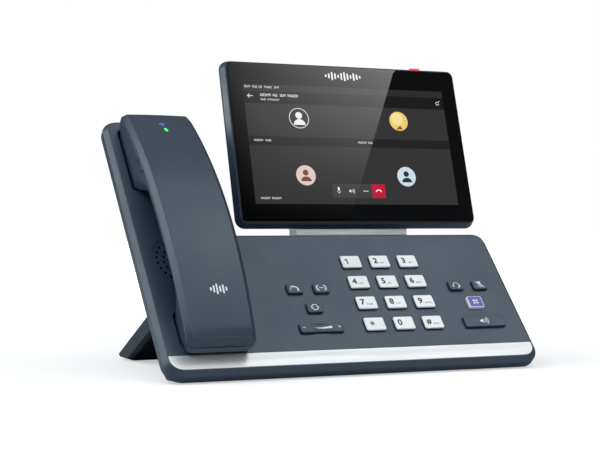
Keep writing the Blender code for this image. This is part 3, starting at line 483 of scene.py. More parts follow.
def key_places():
    places = {}
    for row, labels in enumerate(DIAL):
        for column, label in enumerate(labels):
            x = KEYPAD[0] + (column - 1) * KEY_PITCH[0]
            y = KEYPAD[1] + (1.5 - row) * KEY_PITCH[1]
            places[f"key_{label}"] = (x, y, *DIGIT_KEY)
    places.update(FUNCTION_KEYS)
    return places


def flared_cutter(bm, left, right, bottom, top, radius, depth, flare):
    """A hole cutter whose mouth opens a little at the surface."""
    profile = ((0.0, -depth), (0.0, -flare), (-flare, 0.0), (-flare, 2.0))
    loft(bm, rectangle_loops(left, right, bottom, top, radius, profile))


LOUDSPEAKER = (-99.0, 94.0)
GRILLE_RINGS = 4
GRILLE_PITCH = 4.3
GRILLE_HOLE = ((1.05, -6.0), (1.05, -0.25), (1.3, 0.0), (1.3, 1.0))
GRILLE_GROOVE = (20.7, 0.5, 0.5)


def circle(x, y, radius, z, segments):
    angles = [2.0 * math.pi * index / segments for index in range(segments)]
    return [(x + radius * math.cos(a), y + radius * math.sin(a), z) for a in angles]


def turned(bm, x, y, section, segments):
    """A round body on a vertical axis, from (radius, height) pairs."""
    loft(bm, [circle(x, y, radius, z, segments) for radius, z in section])


def grille(bm):
    """Rings of round holes."""
    turned(bm, *LOUDSPEAKER, GRILLE_HOLE, 12)
    for ring in range(1, GRILLE_RINGS + 1):
        reach = GRILLE_PITCH * ring
        for index in range(6 * ring):
            angle = 2.0 * math.pi * (index + 0.1 * ring) / (6 * ring)
            x = LOUDSPEAKER[0] + reach * math.cos(angle)
            y = LOUDSPEAKER[1] + reach * math.sin(angle)
            turned(bm, x, y, GRILLE_HOLE, 12)


def ring_groove(bm, x, y, radius, width, depth):
    """A cutter for a shallow round groove."""
    inner, outer = radius - width / 2, radius + width / 2
    section = ((inner, -depth), (outer, -depth), (outer, 1.0), (inner, 1.0))
    segments = 72
    rings = []
    for index in range(segments):
        angle = 2.0 * math.pi * index / segments
        rings.append([bm.verts.new((x + r * math.cos(angle), y + r * math.sin(angle), z)) for r, z in section])
    for index, ring in enumerate(rings):
        strip(bm, ring, rings[(index + 1) % segments])
    bmesh.ops.recalc_face_normals(bm, faces=bm.faces)


WELLS = ((-119.8, -69.6, 155.4, 211.8, 2.5), (-116.0, -73.4, 25.8, 51.6, 2.5))
WELL_FLOOR = -7.2
WELL_WALL = 2.0
KEY_CLEARANCE = 0.2
TRIM_TOP = 18.8
CHARGE_PADS = ((-99.0, 36.0), (-90.4, 36.0))


def trim_outline(inset):
    edge = HALF_WIDTH - 3.7 - inset
    low = FRONT + 3.7 + inset
    high = TRIM_TOP - inset
    corner = 8.4 - inset
    corners = [(-edge, low, corner), (edge, low, corner), (edge, high, 0.4), (-edge, high, 0.4)]
    return rounded_outline(corners, 10)


def make_base_face():
    profile = soften([(0.5, -8.8), (0.0, -8.3), (0.0, -3.4), (3.4, 0.0), (6.0, 0.0)], 0.7)
    cover = solid([base_outline(inset, height) for inset, height in profile])
    hollow = solid([base_outline(2.2, -9.8, 8), base_outline(2.2, -4.4, 8), base_outline(4.7, -2.2, 8)])
    walls, pockets, holes, pads, dots, groove = (bmesh.new() for _ in range(6))
    for left, right, bottom, top, radius in WELLS:
        outline = rounded_rectangle(
            left - WELL_WALL, right + WELL_WALL, bottom - WELL_WALL, top + WELL_WALL, radius + WELL_WALL)
        prism(walls, outline, (WELL_FLOOR - 1.6, -1.0))
        flared_cutter(pockets, left, right, bottom, top, radius, -WELL_FLOOR, 0.5)
    seat = solid([at(trim_outline(-0.2), z) for z in (-1.2, 1.0)])
    for x, y, width, height in key_places().values():
        reach_x = width / 2.0 + KEY_CLEARANCE
        reach_y = height / 2.0 + KEY_CLEARANCE
        flared_cutter(holes, x - reach_x, x + reach_x, y - reach_y, y + reach_y, 1.4, 6.0, 0.15)
    for x, y in CHARGE_PADS:
        turned(pads, x, y, ((1.9, WELL_FLOOR - 3.0), (1.9, WELL_FLOOR + 3.0)), 24)
    grille(dots)
    ring_groove(groove, *LOUDSPEAKER, *GRILLE_GROOVE)
    cover = carve(cover, [hollow, walls, pockets, seat, holes, pads, dots, groove], [walls])
    stand_in("base_face", cover, BASE, ["slate"], "base_top_cover", 25.0)


def make_trim():
    profile = soften([(0.0, -0.9), (0.0, -0.1), (0.25, 0.05), (0.6, 0.05)], 0.2, 2)
    bm = solid([at(trim_outline(inset), z) for inset, z in profile])
    stand_in("front_strip", bm, BASE, ["aluminium"], "trim_strip")


# ---- printing: strokes, discs and letters

CAPITAL_HEIGHT = 0.70


class Print:
    """Thin printed shapes on top of a surface, drawn in millimetres."""

    def __init__(self, bm, z, material_index, thickness=0.03):
        self.bm = bm
        self.z = z
        self.index = material_index
        self.thickness = thickness

    def shape(self, points):
        prism(self.bm, points, (self.z, self.z + self.thickness), [self.index])

    def disc(self, x, y, radius, segments=16):
        self.shape([point[:2] for point in circle(x, y, radius, 0.0, segments)])

    def dome(self, x, y, half_width, height):
        """Half an ellipse standing on its flat side."""
        angles = [math.pi * index / 16.0 for index in range(17)]
        self.shape([(x + half_width * math.cos(a), y + height * math.sin(a)) for a in angles])

    def stroke(self, points, width):
        """A line of constant width through the points."""
        left = []
        right = []
        for (x, y), before, after in zip(points, points[:1] + points, points[1:] + points[-1:]):
            along = (Vector(after) - Vector(before)).normalized()
            side = Vector((-along.y, along.x)) * (width / 2.0)
            left.append((x + side.x, y + side.y))
            right.append((x - side.x, y - side.y))
        self.shape(right + left[::-1])

    def arc(self, x, y, radius, start, end, width, segments=14):
        points = []
        for index in range(segments + 1):
            angle = math.radians(start + (end - start) * index / segments)
            points.append((x + radius * math.cos(angle), y + radius * math.sin(angle)))
        self.stroke(points, width)

    def bar(self, left, bottom, right, top, radius=0.0):
        if radius:
            self.shape(rounded_rectangle(left, right, bottom, top, radius, 3))
        else:
            self.shape([(left, bottom), (right, bottom), (right, top), (left, top)])

    def text(self, words, x, y, height, bold):
        """Text with its left end at x and its middle at y, height of a capital given."""
        curve = bpy.data.curves.new("legend", "FONT")
        curve.body = words
        curve.align_y = "CENTER"
        curve.size = height / CAPITAL_HEIGHT
        curve.resolution_u = 4
        curve.extrude = self.thickness / 2.0
        curve.offset = bold
        obj = new_object("legend", curve)
        depsgraph = bpy.context.evaluated_depsgraph_get()
        mesh = bpy.data.meshes.new_from_object(obj.evaluated_get(depsgraph))
        start = len(self.bm.faces)
        mesh.transform(Matrix.Translation((x, y, self.z + self.thickness / 2.0)))
        self.bm.from_mesh(mesh)
        self.bm.faces.ensure_lookup_table()
        for face in self.bm.faces[start:]:
            face.material_index = self.index
        bpy.data.objects.remove(obj, do_unlink=True)


def handset_glyph(ink, x, y, size, angle):
    """A small telephone receiver: an arched bar with a block at each end."""
    turn = Matrix.Rotation(math.radians(angle), 2)

    def put(points):
        return [tuple(turn @ (Vector(point) * size) + Vector((x, y))) for point in points]

    angles = [math.radians(degrees) for degrees in range(25, 156, 13)]
    ink.stroke(put([(math.cos(a), 0.55 * math.sin(a)) for a in angles]), 0.36 * size)
    for side in (-1, 1):
        block = [(side * 0.62, 0.30), (side * 1.12, 0.14), (side * 1.05, -0.22), (side * 0.66, -0.10)]
        ink.shape(put(block[::side]))


# ---- keys

KEY_PROFILE = (
    # inset, height and the material of the band above: 0 for the skirt, 1 for the cap
    (-0.8, -3.7, 0), (-0.8, -2.6, 0), (0.0, -2.6, 0), (0.0, KEY_RISE - 1.1, 0), (0.08, KEY_RISE - 1.05, 1),
    (0.08, KEY_RISE - 0.3, 1), (0.2, KEY_RISE - 0.1, 1), (0.38, KEY_RISE, 1), (0.9, KEY_RISE, 1),
)


def key_body(width, height):
    """Skirt in material 0, cap in material 1, with rounded upper edges."""
    profile = [row[:2] for row in KEY_PROFILE]
    loops = rectangle_loops(-width / 2.0, width / 2.0, -height / 2.0, height / 2.0, 1.25, profile, 0.7)
    return solid(loops, [band for _, _, band in KEY_PROFILE[:-1]])


def place_key(x, y):
    return BASE @ Matrix.Translation((x, y, 0.0))


FIGURE_ONE = ((-3.4, -2.2), (-2.5, -2.2), (-2.5, 2.2), (-3.2, 2.2), (-4.6, 1.4), (-4.6, 0.7), (-3.4, 1.2))


def make_dial_keys():
    materials = ["skirt", "white", "print_dark", "print_grey"]
    for node, (x, y, width, height) in key_places().items():
        if node in FUNCTION_KEYS:
            continue
        label = node.removeprefix("key_")
        bm = key_body(width, height)
        ink = Print(bm, KEY_RISE, 2)
        if label == "star":
            for turn in range(3):
                angle = math.radians(90.0 + 60.0 * turn)
                reach = Vector((math.cos(angle), math.sin(angle))) * 1.9
                ink.stroke([(-2.0 - reach.x, 0.1 - reach.y), (-2.0 + reach.x, 0.1 + reach.y)], 0.55)
        elif label == "1":
            ink.shape(FIGURE_ONE)
        elif label == "hash":
            ink.text("#", -4.7, 0.1, 3.9, 0.2)
        else:
            ink.text(label, -4.7, 0.1, 4.4, 0.2)
        if label in LETTERS:
            Print(bm, KEY_RISE, 3).text(LETTERS[label], -0.3, -1.55, 1.2, 0.03)
        stand_in(f"dial_{label}", bm, place_key(x, y), materials, node)


def icon_transfer(ink):
    handset_glyph(ink, 0.2, -0.3, 2.0, -42.0)
    ink.stroke([(-2.4, -1.3), (-2.4, 0.4), (-1.3, 1.3)], 0.3)
    ink.shape([(-1.9, 1.7), (-1.5, 0.6), (-0.6, 1.5)])


def icon_conference(ink):
    handset_glyph(ink, -1.7, 0.0, 1.6, 90.0)
    handset_glyph(ink, 1.7, 0.0, 1.6, -90.0)
    ink.stroke([(-1.3, 0.0), (1.3, 0.0)], 0.4)


def icon_redial(ink):
    ink.arc(0.0, 0.0, 1.7, 20.0, 165.0, 0.42)
    ink.arc(0.0, 0.0, 1.7, 200.0, 345.0, 0.42)
    ink.shape([(1.0, 0.5), (2.3, 0.35), (1.75, -0.65)][::-1])
    ink.shape([(-1.0, -0.5), (-2.3, -0.35), (-1.75, 0.65)][::-1])


def icon_headset(ink):
    ink.arc(0.0, -0.3, 1.8, 0.0, 180.0, 0.34)
    ink.bar(-2.2, -1.4, -1.4, 0.0, 0.25)
    ink.bar(1.4, -1.4, 2.2, 0.0, 0.25)
    ink.stroke([(1.8, -1.3), (1.3, -1.9), (0.4, -2.0)], 0.26)


def icon_mute(ink):
    ink.bar(-0.75, -0.4, 0.75, 2.1, 0.7)
    ink.arc(0.0, -0.1, 1.35, 190.0, 350.0, 0.34)
    ink.stroke([(0.0, -1.3), (0.0, -2.1)], 0.34)
    ink.stroke([(-2.1, 2.0), (2.1, -2.0)], 0.45)


def icon_speaker(ink):
    ink.shape([(-2.6, -0.6), (-1.7, -0.6), (-0.7, -1.5), (-0.7, 1.5), (-1.7, 0.6), (-2.6, 0.6)])
    for radius in (1.2, 2.2, 3.2):
        ink.arc(-0.9, 0.0, radius, -42.0, 42.0, 0.34)


def icon_app(ink):
    for x in (-1.1, 1.1):
        for y in (-1.0, 1.0):
            ink.bar(x - 0.75, y - 0.7, x + 0.75, y + 0.7, 0.3)


ICON_SCALE = 1.25
ICONS = {
    "key_transfer": icon_transfer,
    "key_conference": icon_conference,
    "key_redial": icon_redial,
    "key_headset": icon_headset,
    "key_mute": icon_mute,
    "key_speaker": icon_speaker,
}


def make_function_keys():
    for node, draw in ICONS.items():
        x, y, width, height = FUNCTION_KEYS[node]
        bm = key_body(width, height)
        icon = bmesh.new()
        draw(Print(icon, KEY_RISE, 2))
        icon.transform(Matrix.Diagonal((ICON_SCALE, ICON_SCALE, 1.0, 1.0)))
        bm.from_mesh(mesh_of(icon, "icon"))
        stand_in(f"{node}_cap", bm, place_key(x, y), ["function_skirt", "function", "print_white"], node)
    x, y, width, height = FUNCTION_KEYS["key_app"]
    bm = key_body(width, height)
    prism(bm, rounded_rectangle(-5.0, 5.0, -4.1, 4.1, 0.9, 6), (KEY_RISE, KEY_RISE + 0.04), [2])
    icon_app(Print(bm, KEY_RISE + 0.04, 3))
    materials = ["purple_rim", "purple_rim", "purple", "print_white"]
    stand_in("key_app_cap", bm, place_key(x, y), materials, "key_app")


VOLUME_STATIONS = 40
VOLUME_CORNER = 1.2
VOLUME_EDGE = 0.35
VOLUME_SCOOP = 0.95
WEDGE_START = -5.0
WEDGE_LENGTH = 12.0


def rounding(from_end, radius):
    """How far a rounded corner falls back at a distance from the end."""
    return radius - math.sqrt(max(radius ** 2 - (radius - min(from_end, radius)) ** 2, 0.0))


def waist(place):
    """1 in the middle of the volume key, falling to 0 at its flat ends."""
    return 0.5 + 0.5 * math.cos(min(abs(place) / 9.0, 1.0) * math.pi)


def volume_ring(place, width, height):
    """Cross section of the volume key at one place along it."""
    from_end = min(place + width / 2.0, width / 2.0 - place)
    half = height / 2.0 - rounding(from_end, VOLUME_CORNER) - 0.75 * waist(place)
    top = KEY_RISE - VOLUME_SCOOP * waist(place) - 0.3 * max(0.0, 1.0 - from_end / 0.5)
    edge = VOLUME_EDGE
    section = [
        (-half, -2.6), (half, -2.6), (half, top - 0.8), (half, top - edge), (half - edge, top),
        (0.0, top - 0.25 * waist(place)), (-half + edge, top), (-half, top - edge), (-half, top - 0.8),
    ]
    return [(place, across, z) for across, z in section]


def wedge_edge(bm, step):
    """Two vertices across the printed wedge, which widens to the right and lies in the scoop."""
    place = WEDGE_START + WEDGE_LENGTH * step / 8.0
    half = 0.08 + 0.85 * (place - WEDGE_START) / WEDGE_LENGTH
    z = KEY_RISE - VOLUME_SCOOP * waist(place) - 0.1 * waist(place) + 0.04
    return bm.verts.new((place, -half, z)), bm.verts.new((place, half, z))


def make_volume_key():
    """A rocker pinched and scooped in the middle, flat at its ends."""
    x, y, width, height = FUNCTION_KEYS["volume_rocker"]
    places = [-width / 2.0 + width * index / VOLUME_STATIONS for index in range(VOLUME_STATIONS + 1)]
    bm = solid([volume_ring(place, width, height) for place in places])
    for face in bm.faces:
        low = min(vert.co.z for vert in face.verts)
        face.material_index = 0 if low < KEY_RISE - 2.2 else 1
    lower = bmesh.new()
    prism(lower, rounded_rectangle(-15.7, 15.7, -4.4, 4.4, 1.0, 4), (-4.6, -3.5))
    prism(lower, rounded_rectangle(-14.5, 14.5, -3.2, 3.2, 0.8, 4), (-3.5, -2.6))
    bm.from_mesh(mesh_of(lower, "lower"))
    ink = Print(bm, KEY_RISE + 0.01, 2)
    ink.stroke([(-13.2, 0.0), (-11.2, 0.0)], 0.45)
    ink.stroke([(11.4, 0.0), (13.0, 0.0)], 0.45)
    ink.stroke([(12.2, -0.8), (12.2, 0.8)], 0.45)
    for step in range(8):
        first, second = wedge_edge(bm, step), wedge_edge(bm, step + 1)
        bm.faces.new((first[0], second[0], second[1], first[1])).material_index = 2
    materials = ["function_skirt", "function", "print_white"]
    stand_in("volume_key", bm, place_key(x, y), materials, "volume_rocker")


# ---- handset

HANDSET_START = 17.0
HANDSET_END = 217.0
HANDSET_CORNER = 4.0
CHAMFER = 3.1
CROWN = 0.4
PARTING = -4.1
ARCH_TOP = 29.3
ARCH_MIDDLE = 115.0
ARCH_SPREAD = 640.0


def arch(y):
    return ARCH_TOP - (y - ARCH_MIDDLE) ** 2 / ARCH_SPREAD


def side_half(y):
    along = min(max((y - HANDSET_START) / 120.0, 0.0), 1.0)
    return 22.0 + 2.2 * math.sin(along * math.pi / 2.0)


def half_width(y):
    """Half the width with the ends rounded in plan."""
    from_end = min(y - HANDSET_START, HANDSET_END - y)
    return side_half(y) - rounding(from_end, HANDSET_CORNER)


def front_height(x, y):
    """Height of the front face: arched along, faintly crowned across, falling off at both ends."""
    low = min(max(1.0 - (y - HANDSET_START) / 9.0, 0.0), 1.0)
    high = min(max(1.0 - (HANDSET_END - y) / 9.0, 0.0), 1.0)
    drop = 1.2 * low ** 2 * (3.0 - 2.0 * low) + 1.6 * high ** 2
    across = min(abs(x) / (side_half(y) - CHAMFER), 1.0)
    return arch(y) - drop + CROWN * (1.0 - across ** 2) - 0.1


def handset_stations():
    """Places along the handset, close together round its ends."""
    places = [HANDSET_CORNER * (1.0 - math.cos(math.pi / 2.0 * index / 8.0)) for index in range(9)]
    low = [HANDSET_START + place for place in places]
    high = [HANDSET_END - place for place in reversed(places)]
    span = high[0] - low[-1]
    middle = [low[-1] + span * step / 110 for step in range(1, 110)]
    return low + middle + high


FRONT_ROWS = [
    HANDSET_START + HANDSET_CORNER + (HANDSET_END - HANDSET_START - 2.0 * HANDSET_CORNER) * step / 72.0
    for step in range(73)
]
ACROSS = (0.0, 0.2, 0.4, 0.6, 0.8)


def front_ring(inset, depth):
    """Plan outline of the handset drawn in by inset, at one depth below the front face."""
    radius = HANDSET_CORNER - inset
    low, high = FRONT_ROWS[0], FRONT_ROWS[-1]
    low_half = side_half(low) - HANDSET_CORNER
    high_half = side_half(high) - HANDSET_CORNER
    quarter = [math.pi / 2.0 * step / 6.0 for step in range(7)]
    right = [(low_half * share, low - radius) for share in ACROSS]
    right += [(low_half + radius * math.sin(a), low - radius * math.cos(a)) for a in quarter]
    right += [(side_half(y) - inset, y) for y in FRONT_ROWS[1:-1]]
    right += [(high_half + radius * math.cos(a), high + radius * math.sin(a)) for a in quarter]
    right += [(high_half * share, high + radius) for share in reversed(ACROSS)]
    outline = right + [(-x, y) for x, y in reversed(right[1:-1])]
    return [(x, y, front_height(x, y) + depth) for x, y in outline]


def front_cap(bm, depth):
    """The face inside the innermost ring, as a grid that follows the arch."""
    columns = [-1.0] + [-share for share in reversed(ACROSS[1:])] + list(ACROSS) + [1.0]
    rows = []
    for y in FRONT_ROWS:
        half = side_half(y) - HANDSET_CORNER
        rows.append([bm.verts.new((half * t, y, front_height(half * t, y) + depth)) for t in columns])
    for first, second in zip(rows, rows[1:]):
        for index in range(len(columns) - 1):
            bm.faces.new((first[index], first[index + 1], second[index + 1], second[index]))


def make_handset_front():
    """Front face with a mitred bevel all round; its corners are cones between the bevels."""
    bm = bmesh.new()
    profile = [(HANDSET_CORNER, PARTING), (0.3, PARTING)]
    profile += soften([(0.3, PARTING), (0.0, PARTING + 0.3), (0.0, -CHAMFER), (CHAMFER, 0.0)], 0.4)[1:-1]
    profile += soften([(1.5, -CHAMFER + 1.5), (CHAMFER, 0.0), (HANDSET_CORNER, 0.0)], 0.4)[1:]
    rings = [[bm.verts.new(point) for point in front_ring(inset, depth)] for inset, depth in profile]
    for lower, upper in zip(rings, rings[1:]):
        strip(bm, lower, upper)
    front_cap(bm, 0.0)
    front_cap(bm, PARTING)
    bmesh.ops.remove_doubles(bm, verts=bm.verts, dist=0.002)
    bmesh.ops.recalc_face_normals(bm, faces=bm.faces)
    stand_in("handset_front", bm, HANDSET, ["handset"], "handset_front_shell", 40.0)


UNDERSIDE = (
    # place along, height of the underside, inset of the knee, inset of the bottom edge
    (17.0, 4.2, 0.6, 1.6), (20.5, 1.2, 0.6, 1.6), (26.5, 1.0, 0.6, 1.4), (28.0, -6.9, 1.0, 2.6),
    (46.0, -6.9, 1.7, 3.2), (58.0, 14.5, 1.4, 4.8), (85.0, 15.0, 0.8, 5.0), (112.0, 15.6, 0.8, 5.0),
    (139.0, 15.0, 0.8, 5.0), (157.0, -1.0, 0.0, 1.0), (160.0, -6.9, 0.0, 0.8), (206.0, -6.9, 0.0, 0.8),
    (211.0, 1.0, 0.0, 0.8), (217.0, 2.4, 0.0, 0.8),
)


def underside_at(y):
    for first, second in zip(UNDERSIDE, UNDERSIDE[1:]):
        if y <= second[0]:
            share = (y - first[0]) / (second[0] - first[0])
            return [a + (b - a) * share for a, b in zip(first[1:], second[1:])]
    return UNDERSIDE[-1][1:]


EAR_HOLES = [(0.0, 184.0)] + [point[:2] for point in circle(0.0, 184.0, 4.0, 0.0, 6)]
PAD_HOLES = ((-4.3, 36.0), (4.3, 36.0))


def make_handset_rear():
    loops = []
    for y in handset_stations():
        bottom, knee_inset, bottom_inset = underside_at(y)
        half = half_width(y) - 0.1
        parting = front_height(half, y) + PARTING - 0.3
        knee = bottom + 0.45 * (parting - bottom)
        points = [(half - knee_inset, knee), (half - bottom_inset, bottom), (0.0, bottom)]
        side = [(half - 0.35, parting), (half, parting - 0.35)]
        side += soften([(half, parting - 0.4)] + points, 1.8, 5)
        loops.append([(x, y, z) for x, z in side] + [(-x, y, z) for x, z in reversed(side[:-1])])
    openings = bmesh.new()
    for places, radius in ((EAR_HOLES, 0.9), (PAD_HOLES, 1.75)):
        section = ((radius + 0.3, -9.0), (radius + 0.3, -6.9), (radius, -6.6), (radius, -4.0))
        for x, y in places:
            turned(openings, x, y, section, 20)
    bm = carve(solid(loops), [openings])
    stand_in("handset_rear", bm, HANDSET, ["handset"], "handset_rear_shell", 40.0)


MARK = (2.3, 50.5)
STATUS_LIGHT = (0.8, 192.4)
SYMBOL_LIGHT = (-0.2, 199.4)


def onto_front(bm, x, y):
    """Lay flat printing onto the handset's front face about a place, and return where it goes."""
    for vert in bm.verts:
        vert.co.z += front_height(vert.co.x + x, vert.co.y + y)
    return HANDSET @ Matrix.Translation((x, y, 0.0))


def make_handset_mark():
    """Printed sound-wave mark."""
    bm = bmesh.new()
    ink = Print(bm, 0.0, 0, 0.06)
    sound_wave(ink, -5.0, 0.0, (1.2, 2.4, 3.6, 2.0, 3.0, 1.4), 2.0, 0.55)
    piece("handset_mark", bm, onto_front(bm, *MARK), "handset", ["print_white"])


def make_lamps():
    """The status light, a rounded bar that lies on the slope, and the symbol light above it."""
    outline = rounded_rectangle(-0.85, 0.85, -2.0, 2.0, 0.8, 8)
    x, y = STATUS_LIGHT
    base = front_height(x, y)
    section = ((1.0, -2.0), (1.0, 0.08), (0.8, 0.25))
    bm = solid([[(px * scale, py * scale, base + z) for px, py in outline] for scale, z in section])
    lie = Matrix.Rotation(math.atan(-2.0 * (y - ARCH_MIDDLE) / ARCH_SPREAD), 4, "X")
    pivot = Matrix.Translation((0.0, 0.0, base))
    turn = Matrix.Translation((x, y, 0.0)) @ pivot @ lie @ pivot.inverted()
    turn = turn @ Matrix.Rotation(math.radians(12.0), 4, "Z")
    stand_in("status_light", bm, HANDSET @ turn, ["green"], "handset_status_lamp")
    bm = bmesh.new()
    ink = Print(bm, 0.03, 0, 0.08)
    ink.arc(0.0, 0.0, 1.6, 20.0, 200.0, 0.5)
    ink.arc(0.0, 0.0, 1.6, 230.0, 340.0, 0.5)
    ink.disc(0.0, 0.0, 0.55)
    stand_in("symbol_light", bm, onto_front(bm, *SYMBOL_LIGHT), ["blue"], "handset_symbol_lamp")


# ---- display

def make_display_housing():
    skin = soften([(20.0, -14.0), (14.0, -14.0), (0.0, -8.0), (0.0, -6.0), (2.0, -0.5), (2.35, -0.5)], 0.8)
    loops = rectangle_loops(-90.5, 90.5, -58.3, 61.2, 6.5, skin + [(2.35, -2.5), (8.0, -2.5)], 3.0, 12)
    lamp = bmesh.new()
    add_box(lamp, (55.0, 56.0, -5.6), (63.6, 63.0, -2.2))
    vents = bmesh.new()
    for side in (-1.0, 1.0):
        for index in range(9):
            x = side * (46.0 + 3.6 * index)
            outline = rounded_rectangle(x - 0.8, x + 0.8, 18.0, 36.0, 0.75, 4)
            prism(vents, outline, (-16.0, -13.0))
    bm = carve(solid(loops), [lamp, vents])
    stand_in("display_housing", bm, DISPLAY, ["slate"], "display_back_cover", 28.0)


def make_display_glass():
    profile = soften([(0.0, -1.4), (0.0, -0.3), (0.35, 0.0), (3.0, 0.0)], 0.3, 3)
    loops = rectangle_loops(-88.2, 88.2, -55.8, 58.7, 4.5, profile, 1.5, 12)
    stand_in("front_glass", solid(loops), DISPLAY, ["glass"], "display_glass", 30.0)


def lit(colour):
    """Make the material of one lit colour, given as 0 to 255 numbers, and return its name."""
    linear = []
    for channel in colour:
        value = channel / 255.0
        linear.append(value / 12.92 if value <= 0.04045 else ((value + 0.055) / 1.055) ** 2.4)
    name = "lit_" + "_".join(str(channel) for channel in colour)
    if name not in MATERIALS:
        glossy(name, DARK_GLASS, GLASS_ROUGHNESS, tuple(linear), 1.0)
    return name


class Screen:
    """Draws the lit picture as thin layers on the glass."""

    def __init__(self):
        self.bm = bmesh.new()
        self.materials = []

    def ink(self, colour, layer):
        name = lit(colour)
        if name not in self.materials:
            self.materials.append(name)
        return Print(self.bm, 0.01 + 0.02 * layer, self.materials.index(name), 0.015)


LETTER_SHAPES = ((0, 2), (1, 3), (0, 1, 3), (2,), (1, 2), (0, 3), (3, 2), (0, 1))


def words(ink, x, y, height, lengths, gap=0.8):
    """A line of made-up writing: each letter is an upright with one to three short arms."""
    stroke = 0.17 * height
    advance = 0.62 * height
    number = len(lengths)
    for length in lengths:
        for letter in range(max(int(length / advance), 1)):
            left = x + letter * advance
            ink.bar(left, y - height / 2.0, left + stroke, y + height / 2.0)
            number += 1
            for arm in LETTER_SHAPES[(number * 3) % len(LETTER_SHAPES)]:
                level = y - height / 2.0 + arm * (height - stroke) / 3.0
                ink.bar(left + stroke, level, left + 0.46 * height, level + stroke)
        x += length + gap


def sound_wave(ink, x, y, reaches, pitch, half_width):
    """A row of upright rounded bars, reaching up and down from y."""
    for index, reach in enumerate(reaches):
        left = x + pitch * index - half_width
        ink.bar(left, y - reach, left + 2.0 * half_width, y + reach, half_width - 0.05)


def avatar(screen, x, y, disc, figure):
    screen.ink(disc, 2).disc(x, y, 7.2, 48)
    ink = screen.ink(figure, 3)
    ink.disc(x, y + 1.9, 2.1, 24)
    ink.dome(x, y - 4.2, 3.9, 3.4)


SCREEN_RIGHT = 77.1
SCREEN_TOP = 42.95
TILE = (50, 50, 51)
WHITE = (240, 240, 242)
BANDS = (
    # colour, layer, bottom and top of the flat bands that cross the picture
    (TILE, 0, -SCREEN_TOP, SCREEN_TOP), ((42, 42, 43), 1, 38.0, SCREEN_TOP), ((22, 22, 23), 1, 29.0, 38.0),
    ((31, 31, 32), 1, -1.2, 5.2), ((40, 40, 41), 1, -1.5, -1.1),
)


def draw_writing(screen):
    """Made-up writing, the arrow and the small sign in the picture's header."""
    pale = screen.ink((222, 223, 225), 2)
    words(pale, -76.0, 41.0, 1.5, (5.0, 4.0, 3.4, 6.4, 4.0))
    bright = screen.ink((236, 236, 238), 3)
    words(bright, -65.0, 35.2, 1.9, (8.6, 4.6, 5.0, 9.0), 0.7)
    words(pale, -65.0, 31.9, 1.3, (4.2, 9.6))
    bright.stroke([(-74.4, 34.2), (-70.6, 34.2)], 0.5)
    bright.stroke([(-73.0, 35.6), (-74.5, 34.2), (-73.0, 32.8)], 0.5)
    bright.arc(72.2, 33.6, 1.2, 90.0, 360.0, 0.4)
    bright.stroke([(72.6, 34.2), (74.2, 35.6)], 0.45)
    words(pale, -73.2, 2.2, 1.4, (7.6, 4.6))
    words(pale, 4.6, 2.2, 1.4, (7.0, 3.8))
    words(pale, -72.9, -38.9, 1.4, (7.2, 7.0))


def draw_people(screen):
    """The four round signs that stand for the people in a call."""
    screen.ink((232, 232, 234), 2).disc(-38.2, 18.9, 7.4, 48)
    screen.ink(TILE, 3).disc(-38.2, 18.9, 6.9, 48)
    figure = screen.ink((238, 238, 240), 4)
    figure.disc(-38.2, 20.9, 2.5, 24)
    figure.dome(-38.2, 14.0, 4.4, 4.2)
    screen.ink((238, 205, 112), 2).disc(38.7, 19.0, 7.2, 48)
    screen.ink((248, 224, 150), 3).disc(37.6, 20.6, 4.6, 32)
    screen.ink((150, 96, 40), 3).shape([(36.2, 12.6), (41.2, 12.9), (39.6, 15.6), (38.2, 15.0)])
    avatar(screen, -38.2, -22.5, (226, 200, 194), (122, 72, 66))
    avatar(screen, 38.8, -22.4, (205, 222, 232), (28, 52, 66))


def draw_call_bar(screen):
    """Microphone, loudspeaker, three dots and the red end-of-call sign."""
    screen.ink((64, 64, 65), 2).bar(-19.6, -38.3, 10.5, -28.4)
    screen.ink((196, 22, 62), 2).bar(10.5, -38.3, 20.5, -28.4)
    signs = screen.ink(WHITE, 4)
    signs.bar(-15.6, -33.2, -14.2, -30.6, 0.6)
    signs.arc(-14.9, -32.9, 1.5, 200.0, 340.0, 0.3)
    signs.stroke([(-14.9, -34.4), (-14.9, -35.4)], 0.35)
    signs.shape([(-7.2, -33.9), (-6.5, -33.9), (-5.7, -34.7), (-5.7, -32.1), (-6.5, -32.9), (-7.2, -32.9)])
    for radius in (0.9, 1.8, 2.7):
        signs.arc(-5.8, -33.4, radius, -40.0, 40.0, 0.28)
    for x in (4.2, 5.6, 7.0):
        signs.disc(x, -33.4, 0.42, 12)
    handset_glyph(signs, 15.5, -33.6, 2.0, 0.0)


def make_screen():
    screen = Screen()
    for colour, layer, bottom, top in BANDS:
        screen.ink(colour, layer).bar(-SCREEN_RIGHT, bottom, SCREEN_RIGHT, top)
    draw_writing(screen)
    draw_people(screen)
    draw_call_bar(screen)
    reaches = (1.0, 1.9, 3.1, 2.2, 1.2, 2.6, 3.4, 2.4, 1.4, 2.8, 2.0, 1.0)
    sound_wave(screen.ink(WHITE, 2), -13.8, 51.4, reaches, 2.4, 0.6)
    piece("screen_picture", screen.bm, DISPLAY, "display", screen.materials, (), 30.0, False)


# ---- the rest of the CAD nodes

